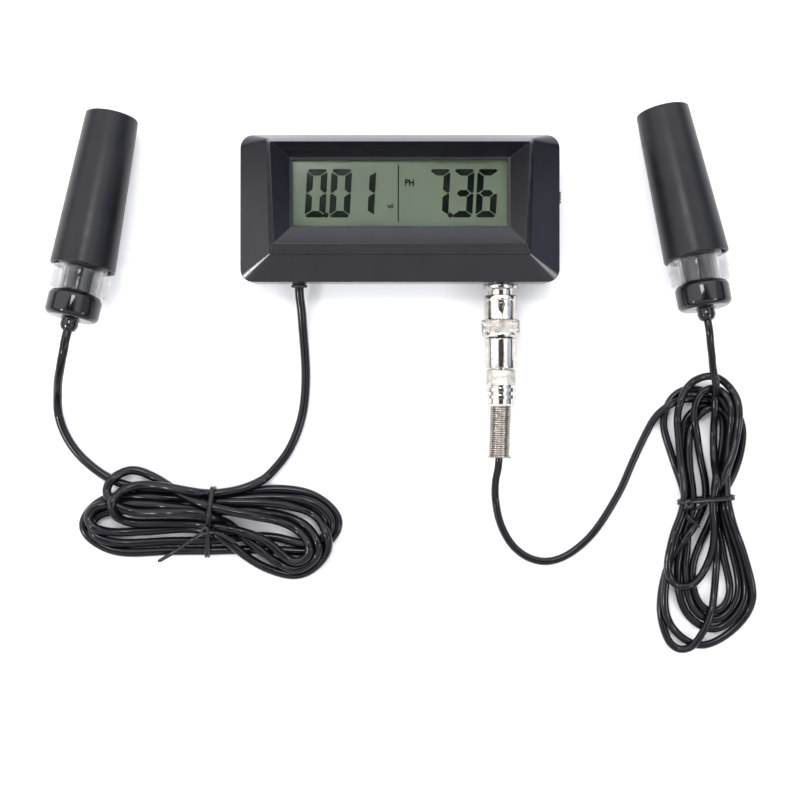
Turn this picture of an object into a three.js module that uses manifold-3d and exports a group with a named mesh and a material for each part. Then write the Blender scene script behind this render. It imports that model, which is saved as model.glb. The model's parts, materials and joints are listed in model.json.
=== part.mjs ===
// Dual-channel bench monitor for acidity and conductivity: a wedge-framed display housing with a
// power switch, a fixed conductivity lead and a bayonet-coupled pH lead, each lead with its probe.
// Millimetres. Origin: centre of the meter's back face. +X right, +Y to the meter's top edge,
// +Z up out of the surface that everything lies on.
import * as THREE from "three";
import { mergeVertices } from "three/addons/utils/BufferGeometryUtils.js";
import Module from "manifold-3d";

const wasm = await Module();
wasm.setup();

// ---------------------------------------------------------------- driving dimensions
const GAP = 0.3; // clearance between pieces that touch
const ROUND = 24; // segments round an ordinary turned piece
const FINE_ROUND = 32; // segments round a sleeve or a cup
const SMALL_ROUND = 10; // segments round a screw, pin or boss
const ARC_STEPS = 6; // segments in one rounded housing corner

const CASE_HALF_X = 59.05;
const CASE_HALF_Y = 27.2;
const CASE_CORNER = 4.8;
const CASE_WALL = 2.0;
const CASE_DRAFT = 0.5; // how far the cover's foot sits inside its top edge

const POST = { x: CASE_HALF_X - 6.55, y: CASE_HALF_Y - 6.4, radius: 3.5 };
const CASE_SCREW = { shank: 1.2, head: 2.5, headHigh: 1.7, seatZ: 8.7 };
const SCREW_ROOM = 1.3; // solid left over the end of a case screw's pilot hole

// The two cells lie side by side over the door, with their bay close against the upper posts.
const DOOR = { thick: 1.0, runner: 0.7, runnerOut: 1.1 };
const CELL = { radius: 5.25, long: 43.5, nub: 1.0, nubRadius: 1.9 };
const CELL_PITCH = 2 * CELL.radius + 0.2;
const CELL_Z = CELL.radius + 2.75;
const BAY_WALL = 1.2;
const BAY_HALF_Y = 2 * CELL.radius + 0.4;
const BAY_LOW = 4.45 - CASE_HALF_X;
const CELL_BAY = {
  low: BAY_LOW,
  high: BAY_LOW + CELL.long + CELL.nub + 5.9,
  midY: POST.y - POST.radius - BAY_WALL - 0.2 - BAY_HALF_Y,
  halfY: BAY_HALF_Y,
  top: CELL_Z + CELL.radius - 0.05,
  wall: BAY_WALL,
};

const BOARD = {
  halfX: CASE_HALF_X - 11.05,
  low: 22.7 - CASE_HALF_Y - 2 * CELL.radius, // clears the cell bay for the board screws
  high: CASE_HALF_Y - 7.4,
  z: CELL_BAY.top + 0.8,
  thick: 1.6,
};
const BOARD_SCREW = { x: BOARD.halfX - 2.8, y: BOARD.low + 2.8, shank: 1.1, head: 2.1, headHigh: 1.4 };

// Heights of the bezel, all measured up from the seam between it and the rear cover.
const SEAM_Z = BOARD.z + 1.75; // top edge of the rear cover
const SKIRT_Z = SEAM_Z + 2.3; // where the bezel's slopes start
const FRAME_FOOT = {
  low: 9.7 - CASE_HALF_Y,
  high: CASE_HALF_Y - 2.7,
  halfLow: CASE_HALF_X - 11.35,
  halfHigh: CASE_HALF_X - 10.35,
  zLow: SEAM_Z + 8.3,
  zHigh: SEAM_Z + 11.3,
};
const FRAME_RIDGE = {
  low: 13.2 - CASE_HALF_Y,
  high: CASE_HALF_Y - 4.5,
  halfLow: CASE_HALF_X - 13.15,
  halfHigh: CASE_HALF_X - 11.85,
  zLow: SEAM_Z + 12.3,
  zHigh: SEAM_Z + 15.3,
};
const SHELL_DROP = 2.2; // thickness of the bezel's sloping walls, measured down
const BOSS_TOP = { low: SEAM_Z + 4.1, high: SEAM_Z + 5.7 };

const WINDOW = { halfX: CASE_HALF_X - 19.65, low: 20.1 - CASE_HALF_Y, high: CASE_HALF_Y - 10.0 };
const WINDOW_Z = SEAM_Z + 7.3;
const LIP = 0.8; // thickness of the lip over the lens
const LENS_MARGIN = 1.6;
const LENS_THICK = 1.2;
const GLASS_THICK = 2.4;
const REFLECTOR_THICK = 0.6;
const POCKET_FOOT_Z = SEAM_Z + 1.3;
const BOARD_SCREW_TIP = WINDOW_Z - 2.8;

const SWITCH = { y: 4.8, z: 11.0, knobLong: 4.1, knobHigh: 2.6, proud: 1.0, travel: 3.5 };
const TRIMMER = { size: 9.5, high: 4.6, rotor: 2.6, x: 24.0, yPh: 10.0, yEc: -4.0 };
const TRIMMER_HOLE = 1.9;

const EC_CORD_D = 3.4;
const PH_CORD_D = 2.9;
const EC_REST = EC_CORD_D / 2 + 0.1; // height of a cord's middle where it lies on the table
const PH_REST = PH_CORD_D / 2 + 0.05;
const GLAND = { x: -38.0, z: 6.0, bore: EC_CORD_D / 2 + GAP, wall: 0.5, seat: 0.4 };

const JACK = { x: 37.8, z: 8.5, bushing: 4.6, tube: 4.8, tubeEnd: 11.4, wall: 0.65, flangeEnd: 1.9 };
const LUG = { reach: JACK.tube + 0.45, radius: 0.95, at: 8.0 };
const COUPLING = {
  start: 4.3,
  bore: JACK.tube + 0.75,
  shell: JACK.tube + 1.4,
  knurl: JACK.tube + 2.45,
  knurlStart: 13.6,
  end: 20.0,
};
const PLUG_END = 31.8;
const PLUG_RADIUS = 6.0;
const CLAMP_END = 45.3;
const SPRING = { end: 65.7, radius: 3.8, drift: -0.6 };

const PROBE = {
  sleeveMouth: 12.1,
  sleeveTip: 9.85,
  sleeveWall: 1.6,
  neck: 7.0,
  ring: 11.1,
  ringStart: 0.9,
  ringLong: 8.4,
  cap: 10.0,
  capLong: 9.6,
  nub: 3.15,
  nubLong: 4.7,
  stem: 6.0,
};
const CUP = { radius: 16.8, neck: 2.4, neckTop: 9.2 };
// Each sleeve runs from mouth to tip. Its probe sits in it a few degrees askew, towards tail.
const EC_PROBE = {
  mouth: new THREE.Vector3(-117.5, -22.2, 17.3),
  tip: new THREE.Vector3(-107.8, 35.4, 10.0),
  tail: new THREE.Vector3(-122.65, -46.3, 20.3),
  cup: new THREE.Vector2(-113.9, -30.8),
};
const PH_PROBE = {
  mouth: new THREE.Vector3(109.8, -18.2, 17.3),
  tip: new THREE.Vector3(98.2, 37.6, 10.0),
  tail: new THREE.Vector3(113.25, -41.3, 20.2),
  cup: new THREE.Vector2(110.5, -24.3),
};

const EC_HANK = { minX: -122.9, maxX: -21.0, minY: -138.1, maxY: -95.0, top: 7.4 };
const PH_HANK = { minX: 98.5, maxX: 134.1, minY: -169.0, maxY: -60.0, top: 7.4 };
const TIE_D = 1.8;

// ---------------------------------------------------------------- colours
const FINISH = {
  caseBlack: { color: 0x2b2b31, roughness: 0.36, metalness: 0 },
  coverBlack: { color: 0x26262b, roughness: 0.42, metalness: 0 },
  softBlack: { color: 0x232325, roughness: 0.5, metalness: 0 },
  sleeveBlack: { color: 0x303034, roughness: 0.62, metalness: 0 },
  capBlack: { color: 0x141417, roughness: 0.12, metalness: 0 },
  cordBlack: { color: 0x1b1b1d, roughness: 0.34, metalness: 0 },
  clearPlastic: { color: 0xe9ebf2, roughness: 0.08, metalness: 0, transparent: true, opacity: 0.4 },
  lens: { color: 0xdfe4e0, roughness: 0.05, metalness: 0, transparent: true, opacity: 0.25 },
  lcd: { color: 0x8b9683, roughness: 0.3, metalness: 0 },
  white: { color: 0xe4e4de, roughness: 0.6, metalness: 0 },
  zebra: { color: 0xb9a5a0, roughness: 0.7, metalness: 0 },
  board: { color: 0x1f5b39, roughness: 0.45, metalness: 0 },
  resin: { color: 0x101012, roughness: 0.3, metalness: 0 },
  blue: { color: 0x2460a8, roughness: 0.5, metalness: 0 },
  brass: { color: 0xc9a24a, roughness: 0.3, metalness: 1 },
  nickel: { color: 0xc9c6be, roughness: 0.16, metalness: 1 },
  steel: { color: 0x9a9aa0, roughness: 0.3, metalness: 1 },
  cell: { color: 0x6f7680, roughness: 0.35, metalness: 0.3 },
  dielectric: { color: 0xf1efe8, roughness: 0.5, metalness: 0 },
  glass: { color: 0xd9e6e4, roughness: 0.03, metalness: 0, transparent: true, opacity: 0.4 },
};

// ---------------------------------------------------------------- geometry helpers
// Leaves only merged positions, drops collapsed triangles and turns the faces outwards.
function closed(geometry) {
  const bare = new THREE.BufferGeometry();
  bare.setAttribute("position", geometry.getAttribute("position").clone());
  if (geometry.index) bare.setIndex(geometry.index.clone());
  const merged = mergeVertices(bare, 1e-4);
  const p = merged.getAttribute("position");
  const kept = [];
  const a = new THREE.Vector3();
  const b = new THREE.Vector3();
  const c = new THREE.Vector3();
  let volume = 0;
  for (let i = 0; i < merged.index.count; i += 3) {
    const [u, v, w] = [0, 1, 2].map((k) => merged.index.getX(i + k));
    if (u === v || v === w || w === u) continue;
    kept.push([u, v, w]);
    a.fromBufferAttribute(p, u);
    b.fromBufferAttribute(p, v);
    c.fromBufferAttribute(p, w);
    volume += a.dot(b.cross(c));
  }
  merged.setIndex(kept.flatMap(([u, v, w]) => (volume > 0 ? [u, v, w] : [u, w, v])));
  return merged;
}

function toSolid(geometry) {
  const g = closed(geometry);
  const vertProperties = new Float32Array(g.getAttribute("position").array);
  const triVerts = new Uint32Array(g.index.array);
  return new wasm.Manifold(new wasm.Mesh({ numProp: 3, vertProperties, triVerts }));
}

function toGeometry(solid) {
  const m = solid.getMesh();
  const points = new Float32Array(m.numVert * 3);
  for (let i = 0; i < m.numVert; i += 1) {
    points.set(m.vertProperties.subarray(i * m.numProp, i * m.numProp + 3), i * 3);
  }
  const g = new THREE.BufferGeometry();
  g.setAttribute("position", new THREE.BufferAttribute(points, 3));
  g.setIndex([...m.triVerts]);
  return g;
}

function joined(...geometries) {
  return toGeometry(geometries.map(toSolid).reduce((all, next) => all.add(next)));
}

function cut(body, ...tools) {
  return toGeometry(tools.map(toSolid).reduce((left, tool) => left.subtract(tool), toSolid(body)));
}

function box(x0, x1, y0, y1, z0, z1) {
  const g = new THREE.BoxGeometry(x1 - x0, y1 - y0, z1 - z0);
  return g.translate((x0 + x1) / 2, (y0 + y1) / 2, (z0 + z1) / 2);
}

// A turned piece about +Z: profile points are [radius, height] and start and end on the axis,
// or come back to their first point.
function turned(profile, segments = ROUND) {
  const points = profile.map(([r, h]) => new THREE.Vector2(r, h));
  return new THREE.LatheGeometry(points, segments).rotateX(Math.PI / 2);
}

// A disc or rod about +Z.
function rod(radius, z0, z1, segments = SMALL_ROUND) {
  return turned([[0, z0], [radius, z0], [radius, z1], [0, z1]], segments);
}

// A washer, bush or plain tube about +Z.
function tube(outer, inner, z0, z1, segments = ROUND) {
  return turned([[inner, z0], [outer, z0], [outer, z1], [inner, z1], [inner, z0]], segments);
}

// Turns a +Z piece to point out of the meter's bottom wall (-Y) and puts it on its axis.
function outOfBottom(geometry, x, z) {
  return geometry.rotateX(Math.PI / 2).translate(x, -CASE_HALF_Y, z);
}

function corners(low, high, halfLow, halfHigh) {
  return [[-halfLow, low], [halfLow, low], [halfHigh, high], [-halfHigh, high]].map(
    ([x, y]) => new THREE.Vector2(x, y),
  );
}

function rectangle(halfX, halfY) {
  return corners(-halfY, halfY, halfX, halfX);
}

// One closed ring of points round four corners, each corner an arc of the given radius.
function ring(fourCorners, radius, heightAt) {
  return fourCorners.flatMap((corner, i) => {
    const toBefore = fourCorners[(i + 3) % 4].clone().sub(corner).normalize();
    const toAfter = fourCorners[(i + 1) % 4].clone().sub(corner).normalize();
    const half = Math.acos(THREE.MathUtils.clamp(toBefore.dot(toAfter), -1, 1)) / 2;
    const inward = toBefore.clone().add(toAfter).normalize();
    const centre = corner.clone().addScaledVector(inward, radius / Math.sin(half));
    const start = corner.clone().addScaledVector(toBefore, radius / Math.tan(half)).sub(centre);
    const sweep = Math.PI - 2 * half;
    return Array.from({ length: ARC_STEPS + 1 }, (_, k) => {
      const p = start.clone().rotateAround(new THREE.Vector2(), (sweep * k) / ARC_STEPS).add(centre);
      return new THREE.Vector3(p.x, p.y, heightAt(p.y));
    });
  });
}

// Skins a stack of rings. A looped stack joins its last ring to its first, like a tyre;
// any other stack is capped at both ends, which must be convex.
function skinned(rings, looped = false) {
  const n = rings[0].length;
  const points = rings.flat();
  const faces = [];
  const last = looped ? rings.length : rings.length - 1;
  for (let r = 0; r < last; r += 1) {
    for (let k = 0; k < n; k += 1) {
      const a = r * n + k;
      const b = r * n + ((k + 1) % n);
      const c = ((r + 1) % rings.length) * n + k;
      const d = ((r + 1) % rings.length) * n + ((k + 1) % n);
      faces.push(a, b, d, a, d, c);
    }
  }
  if (!looped) {
    const top = (rings.length - 1) * n;
    for (let k = 1; k < n - 1; k += 1) {
      faces.push(0, k + 1, k, top, top + k, top + k + 1);
    }
  }
  const g = new THREE.BufferGeometry().setFromPoints(points);
  g.setIndex(faces);
  return g;
}

// A round-sectioned solid along a smooth curve through the points.
function along(points, diameter, stepLength, sides = 8) {
  const curve = new THREE.CatmullRomCurve3(points.map((p) => new THREE.Vector3(...p)), false, "centripetal");
  const section = new THREE.Shape();
  for (let k = 0; k < sides; k += 1) {
    const angle = (2 * Math.PI * k) / sides;
    const x = (diameter / 2) * Math.cos(angle);
    const y = (diameter / 2) * Math.sin(angle);
    if (k === 0) section.moveTo(x, y);
    else section.lineTo(x, y);
  }
  const steps = Math.max(2, Math.round(curve.getLength() / stepLength));
  return new THREE.ExtrudeGeometry(section, { steps, bevelEnabled: false, extrudePath: curve });
}

// ---------------------------------------------------------------- the object
const meter = new THREE.Group();

function add(name, geometry, finish, parent = meter) {
  const mesh = new THREE.Mesh(closed(geometry), new THREE.MeshStandardMaterial(FINISH[finish]));
  mesh.name = name;
  mesh.geometry.computeVertexNormals();
  parent.add(mesh);
  return mesh;
}

// A plane that rises from the lower to the upper edge of the display frame.
function sloping(edge, drop = 0) {
  const rise = (edge.zHigh - edge.zLow) / (edge.high - edge.low);
  return (y) => edge.zLow + rise * (y - edge.low) - drop;
}

function level(z) {
  return () => z;
}

function windowRing(margin, z) {
  const half = WINDOW.halfX + margin;
  return ring(corners(WINDOW.low - margin, WINDOW.high + margin, half, half), 0.4 + margin / 4, level(z));
}

function frameRing(edge, inset, radius, drop) {
  const c = corners(edge.low + inset, edge.high - inset, edge.halfLow - inset, edge.halfHigh - inset);
  return ring(c, radius, sloping(edge, drop));
}

function frontBezel() {
  const outline = rectangle(CASE_HALF_X, CASE_HALF_Y);
  const inner = rectangle(CASE_HALF_X - CASE_WALL, CASE_HALF_Y - CASE_WALL);
  const pocket = LENS_MARGIN + GAP;
  const rib = pocket + 1.4;
  const shell = skinned(
    [
      ring(outline, CASE_CORNER, level(SEAM_Z + GAP)),
      ring(outline, CASE_CORNER, level(SKIRT_Z)),
      frameRing(FRAME_FOOT, 0, 0.8, 0),
      frameRing(FRAME_RIDGE, 0, 0.6, 0),
      windowRing(1.0, WINDOW_Z + 0.5),
      windowRing(0, WINDOW_Z),
      windowRing(0, WINDOW_Z - LIP),
      windowRing(pocket, WINDOW_Z - LIP),
      windowRing(pocket, POCKET_FOOT_Z),
      windowRing(rib, POCKET_FOOT_Z),
      frameRing(FRAME_RIDGE, 2.1, 0.6, SHELL_DROP + 0.4),
      frameRing(FRAME_FOOT, 1.8, 0.8, SHELL_DROP - 0.4),
      ring(inner, CASE_CORNER - CASE_WALL, level(SKIRT_Z - 0.6)),
      ring(inner, CASE_CORNER - CASE_WALL, level(SEAM_Z + GAP)),
    ],
    true,
  );
  const bosses = [];
  const pilots = [];
  for (const sx of [-1, 1]) {
    for (const [sy, top] of [[-1, BOSS_TOP.low], [1, BOSS_TOP.high]]) {
      bosses.push(rod(2.8, SEAM_Z + 2 * GAP, top).translate(sx * POST.x, sy * POST.y, 0));
      pilots.push(rod(CASE_SCREW.shank + GAP, SEAM_Z, top - SCREW_ROOM).translate(sx * POST.x, sy * POST.y, 0));
    }
    const pillar = rod(2.4, BOARD.z + BOARD.thick + GAP, WINDOW_Z - LIP + 0.4);
    bosses.push(pillar.translate(sx * BOARD_SCREW.x, BOARD_SCREW.y, 0));
    const hole = rod(BOARD_SCREW.shank + GAP, BOARD.z, BOARD_SCREW_TIP + 0.4);
    pilots.push(hole.translate(sx * BOARD_SCREW.x, BOARD_SCREW.y, 0));
  }
  return cut(joined(shell, ...bosses), ...pilots);
}

function bayBox(margin, z0, z1) {
  const { low, high, midY, halfY } = CELL_BAY;
  return box(low - margin, high + margin, midY - halfY - margin, midY + halfY + margin, z0, z1);
}

// The door's two widths: the plate, and the runners that hold it under the cover's lips.
function doorLayer(side, end, z0, z1, outX) {
  const { low, high, midY, halfY } = CELL_BAY;
  return box(low - 0.6 - outX, high + end, midY - halfY - side, midY + halfY + side, z0, z1);
}

function rearCover() {
  const foot = rectangle(CASE_HALF_X - CASE_DRAFT - 0.7, CASE_HALF_Y - CASE_DRAFT - 0.7);
  const heel = rectangle(CASE_HALF_X - CASE_DRAFT, CASE_HALF_Y - CASE_DRAFT);
  const brim = rectangle(CASE_HALF_X - 0.15, CASE_HALF_Y - 0.15);
  const outer = skinned([
    ring(foot, CASE_CORNER - 0.7, level(0)),
    ring(heel, CASE_CORNER, level(0.9)),
    ring(brim, CASE_CORNER, level(SEAM_Z)),
  ]);
  const innerFoot = rectangle(CASE_HALF_X - CASE_WALL - CASE_DRAFT, CASE_HALF_Y - CASE_WALL - CASE_DRAFT);
  const innerBrim = rectangle(CASE_HALF_X - CASE_WALL, CASE_HALF_Y - CASE_WALL);
  const hollow = skinned([
    ring(innerFoot, CASE_CORNER - CASE_WALL, level(CASE_WALL)),
    ring(innerBrim, CASE_CORNER - CASE_WALL, level(SEAM_Z + 1)),
  ]);
  const posts = [];
  const holes = [];
  for (const sx of [-1, 1]) {
    for (const sy of [-1, 1]) {
      posts.push(rod(POST.radius, 1, SEAM_Z, ROUND).translate(sx * POST.x, sy * POST.y, 0));
      holes.push(rod(CASE_SCREW.shank + GAP, -1, SEAM_Z + 1).translate(sx * POST.x, sy * POST.y, 0));
      const counterbore = rod(CASE_SCREW.head + 2 * GAP, -1, CASE_SCREW.seatZ + GAP);
      holes.push(counterbore.translate(sx * POST.x, sy * POST.y, 0));
    }
  }
  for (const y of [TRIMMER.yPh, TRIMMER.yEc]) {
    holes.push(rod(TRIMMER_HOLE, -1, CASE_WALL + 1).translate(TRIMMER.x, y, 0));
  }
  holes.push(outOfBottom(rod(GLAND.bore + GLAND.wall + GLAND.seat, -4, 4, ROUND), GLAND.x, GLAND.z));
  holes.push(outOfBottom(rod(JACK.bushing + GAP, -4, 4, ROUND), JACK.x, JACK.z));
  const { knobLong, knobHigh, travel, y, z } = SWITCH;
  const slotLow = y - travel - knobLong / 2 - GAP;
  const slotHigh = y + knobLong / 2 + GAP;
  const slotHalf = knobHigh / 2 + GAP;
  holes.push(box(CASE_HALF_X - 4, CASE_HALF_X + 2, slotLow, slotHigh, z - slotHalf, z + slotHalf));
  const thick = DOOR.thick + DOOR.runner;
  holes.push(
    bayBox(0, thick, CELL_BAY.top + 1),
    doorLayer(GAP, GAP, -1, DOOR.thick + GAP, 10),
    doorLayer(DOOR.runnerOut + GAP, GAP, DOOR.thick - GAP, thick + 2 * GAP, 10),
  );
  const bay = bayBox(CELL_BAY.wall, 1, CELL_BAY.top);
  const pad = bayBox(3.2, 1, 3.6);
  const clipped = toGeometry(toSolid(joined(bay, pad)).intersect(toSolid(outer)));
  return cut(joined(cut(outer, hollow), ...posts, clipped), ...holes);
}

function batteryDoor() {
  const plate = doorLayer(0, 0, 0.15, DOOR.thick, 1.6);
  const runners = doorLayer(DOOR.runnerOut, 0, DOOR.thick, DOOR.thick + DOOR.runner, 1.6);
  const grooves = [0, 1, 2, 3].map((k) => {
    const x = CELL_BAY.low + 3 + 2 * k;
    return box(x, x + 1, CELL_BAY.midY - 6, CELL_BAY.midY + 6, 0, 0.55);
  });
  return cut(joined(plate, runners), ...grooves);
}

function makeHousing() {
  add("front_bezel", frontBezel(), "caseBlack");
  add("rear_cover", rearCover(), "coverBlack");
  add("battery_door", batteryDoor(), "coverBlack");
  for (const [name, sx, sy] of [
    ["lower_left", -1, -1],
    ["lower_right", 1, -1],
    ["upper_left", -1, 1],
    ["upper_right", 1, 1],
  ]) {
    const tip = (sy > 0 ? BOSS_TOP.high : BOSS_TOP.low) - SCREW_ROOM - GAP;
    const { head, shank, headHigh, seatZ } = CASE_SCREW;
    const screw = turned(
      [[0, seatZ - headHigh], [head, seatZ - headHigh], [head, seatZ], [shank, seatZ], [shank, tip], [0, tip]],
      SMALL_ROUND,
    );
    const cross = [
      box(-1.5, 1.5, -0.35, 0.35, seatZ - headHigh - 1, seatZ - headHigh + 0.8),
      box(-0.35, 0.35, -1.5, 1.5, seatZ - headHigh - 1, seatZ - headHigh + 0.8),
    ];
    add("case_screw_" + name, cut(screw, ...cross).translate(sx * POST.x, sy * POST.y, 0), "steel");
  }
}

function makeDisplay() {
  const under = WINDOW_Z - LIP - GAP;
  const pane = (margin, z0, z1) =>
    box(-WINDOW.halfX - margin, WINDOW.halfX + margin, WINDOW.low - margin, WINDOW.high + margin, z0, z1);
  const glassTop = under - LENS_THICK - GAP;
  const glassFoot = glassTop - GLASS_THICK;
  add("lcd_lens", pane(LENS_MARGIN, under - LENS_THICK, under), "lens");
  add("lcd_panel", pane(LENS_MARGIN - 0.2, glassFoot, glassTop), "lcd");
  add("lcd_reflector", pane(-LENS_MARGIN, glassFoot - GAP - REFLECTOR_THICK, glassFoot - GAP), "white");
  const boardTop = BOARD.z + BOARD.thick;
  const half = WINDOW.halfX - 1.4;
  for (const [name, y] of [["lower", WINDOW.low], ["upper", WINDOW.high]]) {
    const strip = box(-half, half, y - 1.2, y + 1.2, boardTop + GAP, glassFoot - GAP);
    add("zebra_strip_" + name, strip, "zebra");
  }
}

function makeElectronics() {
  const board = box(-BOARD.halfX, BOARD.halfX, BOARD.low, BOARD.high, BOARD.z, BOARD.z + BOARD.thick);
  const holes = [-1, 1].map((sx) =>
    rod(BOARD_SCREW.shank + GAP, BOARD.z - 1, BOARD.z + BOARD.thick + 1).translate(
      sx * BOARD_SCREW.x,
      BOARD_SCREW.y,
      0,
    ),
  );
  add("main_board", cut(board, ...holes), "board");
  const { x, y, shank, head, headHigh } = BOARD_SCREW;
  for (const [side, sx] of [["left", -1], ["right", 1]]) {
    const seat = BOARD.z - GAP;
    const screw = turned(
      [
        [0, seat - headHigh],
        [head, seat - headHigh],
        [head, seat],
        [shank, seat],
        [shank, BOARD_SCREW_TIP],
        [0, BOARD_SCREW_TIP],
      ],
      SMALL_ROUND,
    );
    add("board_screw_" + side, screw.translate(sx * x, y, 0), "steel");
  }
  const chipFoot = BOARD.z + BOARD.thick + GAP;
  add("driver_chip", box(-6, 6, -1, 11, chipFoot, chipFoot + 0.8), "resin");
  for (const [name, ty] of [["ph", TRIMMER.yPh], ["ec", TRIMMER.yEc]]) {
    const half = TRIMMER.size / 2;
    const top = BOARD.z - GAP;
    const foot = top - TRIMMER.high;
    const body = box(-half, half, -half, half, foot, top);
    const well = rod(TRIMMER.rotor + GAP, foot - 1, foot + 2.6, ROUND);
    add("trimmer_body_" + name, cut(body, well).translate(TRIMMER.x, ty, 0), "blue");
    const rotor = rod(TRIMMER.rotor, foot - 0.4, foot + 2.2, ROUND);
    const slot = box(-2, 2, -0.35, 0.35, foot - 1, foot + 0.5);
    add("trimmer_rotor_" + name, cut(rotor, slot).translate(TRIMMER.x, ty, 0), "brass");
  }
}

function makeSwitch() {
  const { y, z, knobLong, knobHigh, proud, travel } = SWITCH;
  const wallInside = CASE_HALF_X - CASE_WALL - CASE_DRAFT;
  const front = wallInside - GAP;
  const middle = y - travel / 2;
  const body = box(front - 4.4, front, middle - 6, middle + 6, z - 2.4, z + 2.4);
  const slot = box(front - 3, front + 1, y - travel - 1 - GAP, y + 1 + GAP, z - 0.6 - GAP, z + 0.6 + GAP);
  add("switch_body", cut(body, slot), "steel");
  const half = knobLong / 2;
  const knob = box(front + GAP, CASE_HALF_X + proud, y - half, y + half, z - knobHigh / 2, z + knobHigh / 2);
  const stem = box(front - 2.6, front + 1, y - 1, y + 1, z - 0.6, z + 0.6);
  const grooves = [-1, 0, 1].map((k) => {
    const face = CASE_HALF_X + proud;
    return box(face - 0.35, face + 1, y + k * 1.1 - 0.25, y + k * 1.1 + 0.25, z - 2, z + 2);
  });
  add("switch_knob", cut(joined(knob, stem), ...grooves), "softBlack");
}

function makeCells() {
  const { radius, long, nub, nubRadius } = CELL;
  const { low, high, midY } = CELL_BAY;
  const middle = (low + high) / 2;
  const half = (long + nub) / 2;
  for (const [name, side] of [["battery_lower", -1], ["battery_upper", 1]]) {
    const cell = turned(
      [
        [0, -half],
        [radius, -half],
        [radius, half - nub],
        [nubRadius, half - nub],
        [nubRadius, half],
        [0, half],
      ],
      ROUND,
    );
    cell.rotateY((-side * Math.PI) / 2);
    add(name, cell.translate(middle, midY + (side * CELL_PITCH) / 2, CELL_Z), "cell");
  }
  const reach = middle - half - GAP;
  const leaf = 0.4;
  const halfLeaf = CELL.radius - 1.25;
  const spring = { cup: 2.6, bump: 1.6 };
  const contact = (x0, x1, end, y, r) => {
    const [near, far] = [Math.min(x0, x1), Math.max(x0, x1)];
    const plate = box(near, far, y - halfLeaf, y + halfLeaf, CELL_Z - halfLeaf, CELL_Z + halfLeaf);
    const button = rod(r, 0, Math.abs(end - x0)).rotateY(end > x0 ? Math.PI / 2 : -Math.PI / 2);
    return joined(plate, button.translate(x0, y, CELL_Z));
  };
  const [lowY, highY] = [midY - CELL_PITCH / 2, midY + CELL_PITCH / 2];
  const nearEnd = low + GAP;
  const bridge = joined(
    contact(nearEnd, nearEnd + leaf, reach, lowY, spring.cup),
    contact(nearEnd, nearEnd + leaf, reach, highY, spring.bump),
    box(nearEnd, nearEnd + leaf, lowY, highY, CELL_Z - 2, CELL_Z + 2),
  );
  add("battery_bridge", bridge, "nickel");
  const farEnd = high - GAP;
  const farReach = middle + half + GAP;
  add("battery_contact_positive", contact(farEnd, farEnd - leaf, farReach, lowY, spring.bump), "nickel");
  add("battery_contact_negative", contact(farEnd, farEnd - leaf, farReach, highY, spring.cup), "nickel");
}

function makeGland() {
  const { bore, wall } = GLAND;
  const inside = CASE_WALL + 0.7 + GAP;
  const flange = bore + wall + 0.8;
  const lip = bore + wall + 0.6;
  const gland = turned([
    [bore, -inside - 1],
    [flange, -inside - 1],
    [flange, -inside],
    [bore + wall, -inside],
    [bore + wall, GAP],
    [lip, GAP],
    [lip - 0.1, 1.2],
    [bore, 1.2],
    [bore, -inside - 1],
  ]);
  add("ec_cord_gland", outOfBottom(gland, GLAND.x, GLAND.z), "softBlack");
}

function makeJack() {
  const { x, z, bushing, flangeEnd, tube: sleeve, tubeEnd, wall } = JACK;
  const flange = sleeve + 1.75;
  const bore = 2.7;
  const shell = turned([
    [bore, -6],
    [bushing, -6],
    [bushing, GAP],
    [flange, GAP],
    [flange, flangeEnd],
    [sleeve, flangeEnd],
    [sleeve, tubeEnd],
    [sleeve - wall, tubeEnd],
    [sleeve - wall, 2.6],
    [bore, 2.6],
    [bore, -6],
  ]);
  const lugs = [-1, 1].map((side) =>
    rod(LUG.radius, sleeve - wall / 2, LUG.reach).rotateX((-side * Math.PI) / 2).translate(0, 0, LUG.at),
  );
  add("bnc_jack_shell", outOfBottom(joined(shell, ...lugs), x, z), "nickel");
  add("bnc_jack_insulator", outOfBottom(tube(bore - GAP, 1.25, -5.7, 8.5, SMALL_ROUND), x, z), "dielectric");
  const contact = turned([[0, -9], [0.95, -9], [0.95, 8], [0.75, 8], [0.75, 2], [0, 2]], SMALL_ROUND);
  add("bnc_jack_contact", outOfBottom(contact, x, z), "brass");
  const inside = -CASE_WALL - CASE_DRAFT - GAP;
  const hexRadius = (bushing + 1.4) / Math.cos(Math.PI / 6);
  const hex = rod(hexRadius, inside - 2.2, inside, 6).rotateZ(Math.PI / 6);
  const nut = cut(hex, rod(bushing + GAP, inside - 3, inside + 1, ROUND));
  add("bnc_jack_nut", outOfBottom(nut, x, z), "nickel");
}

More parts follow.
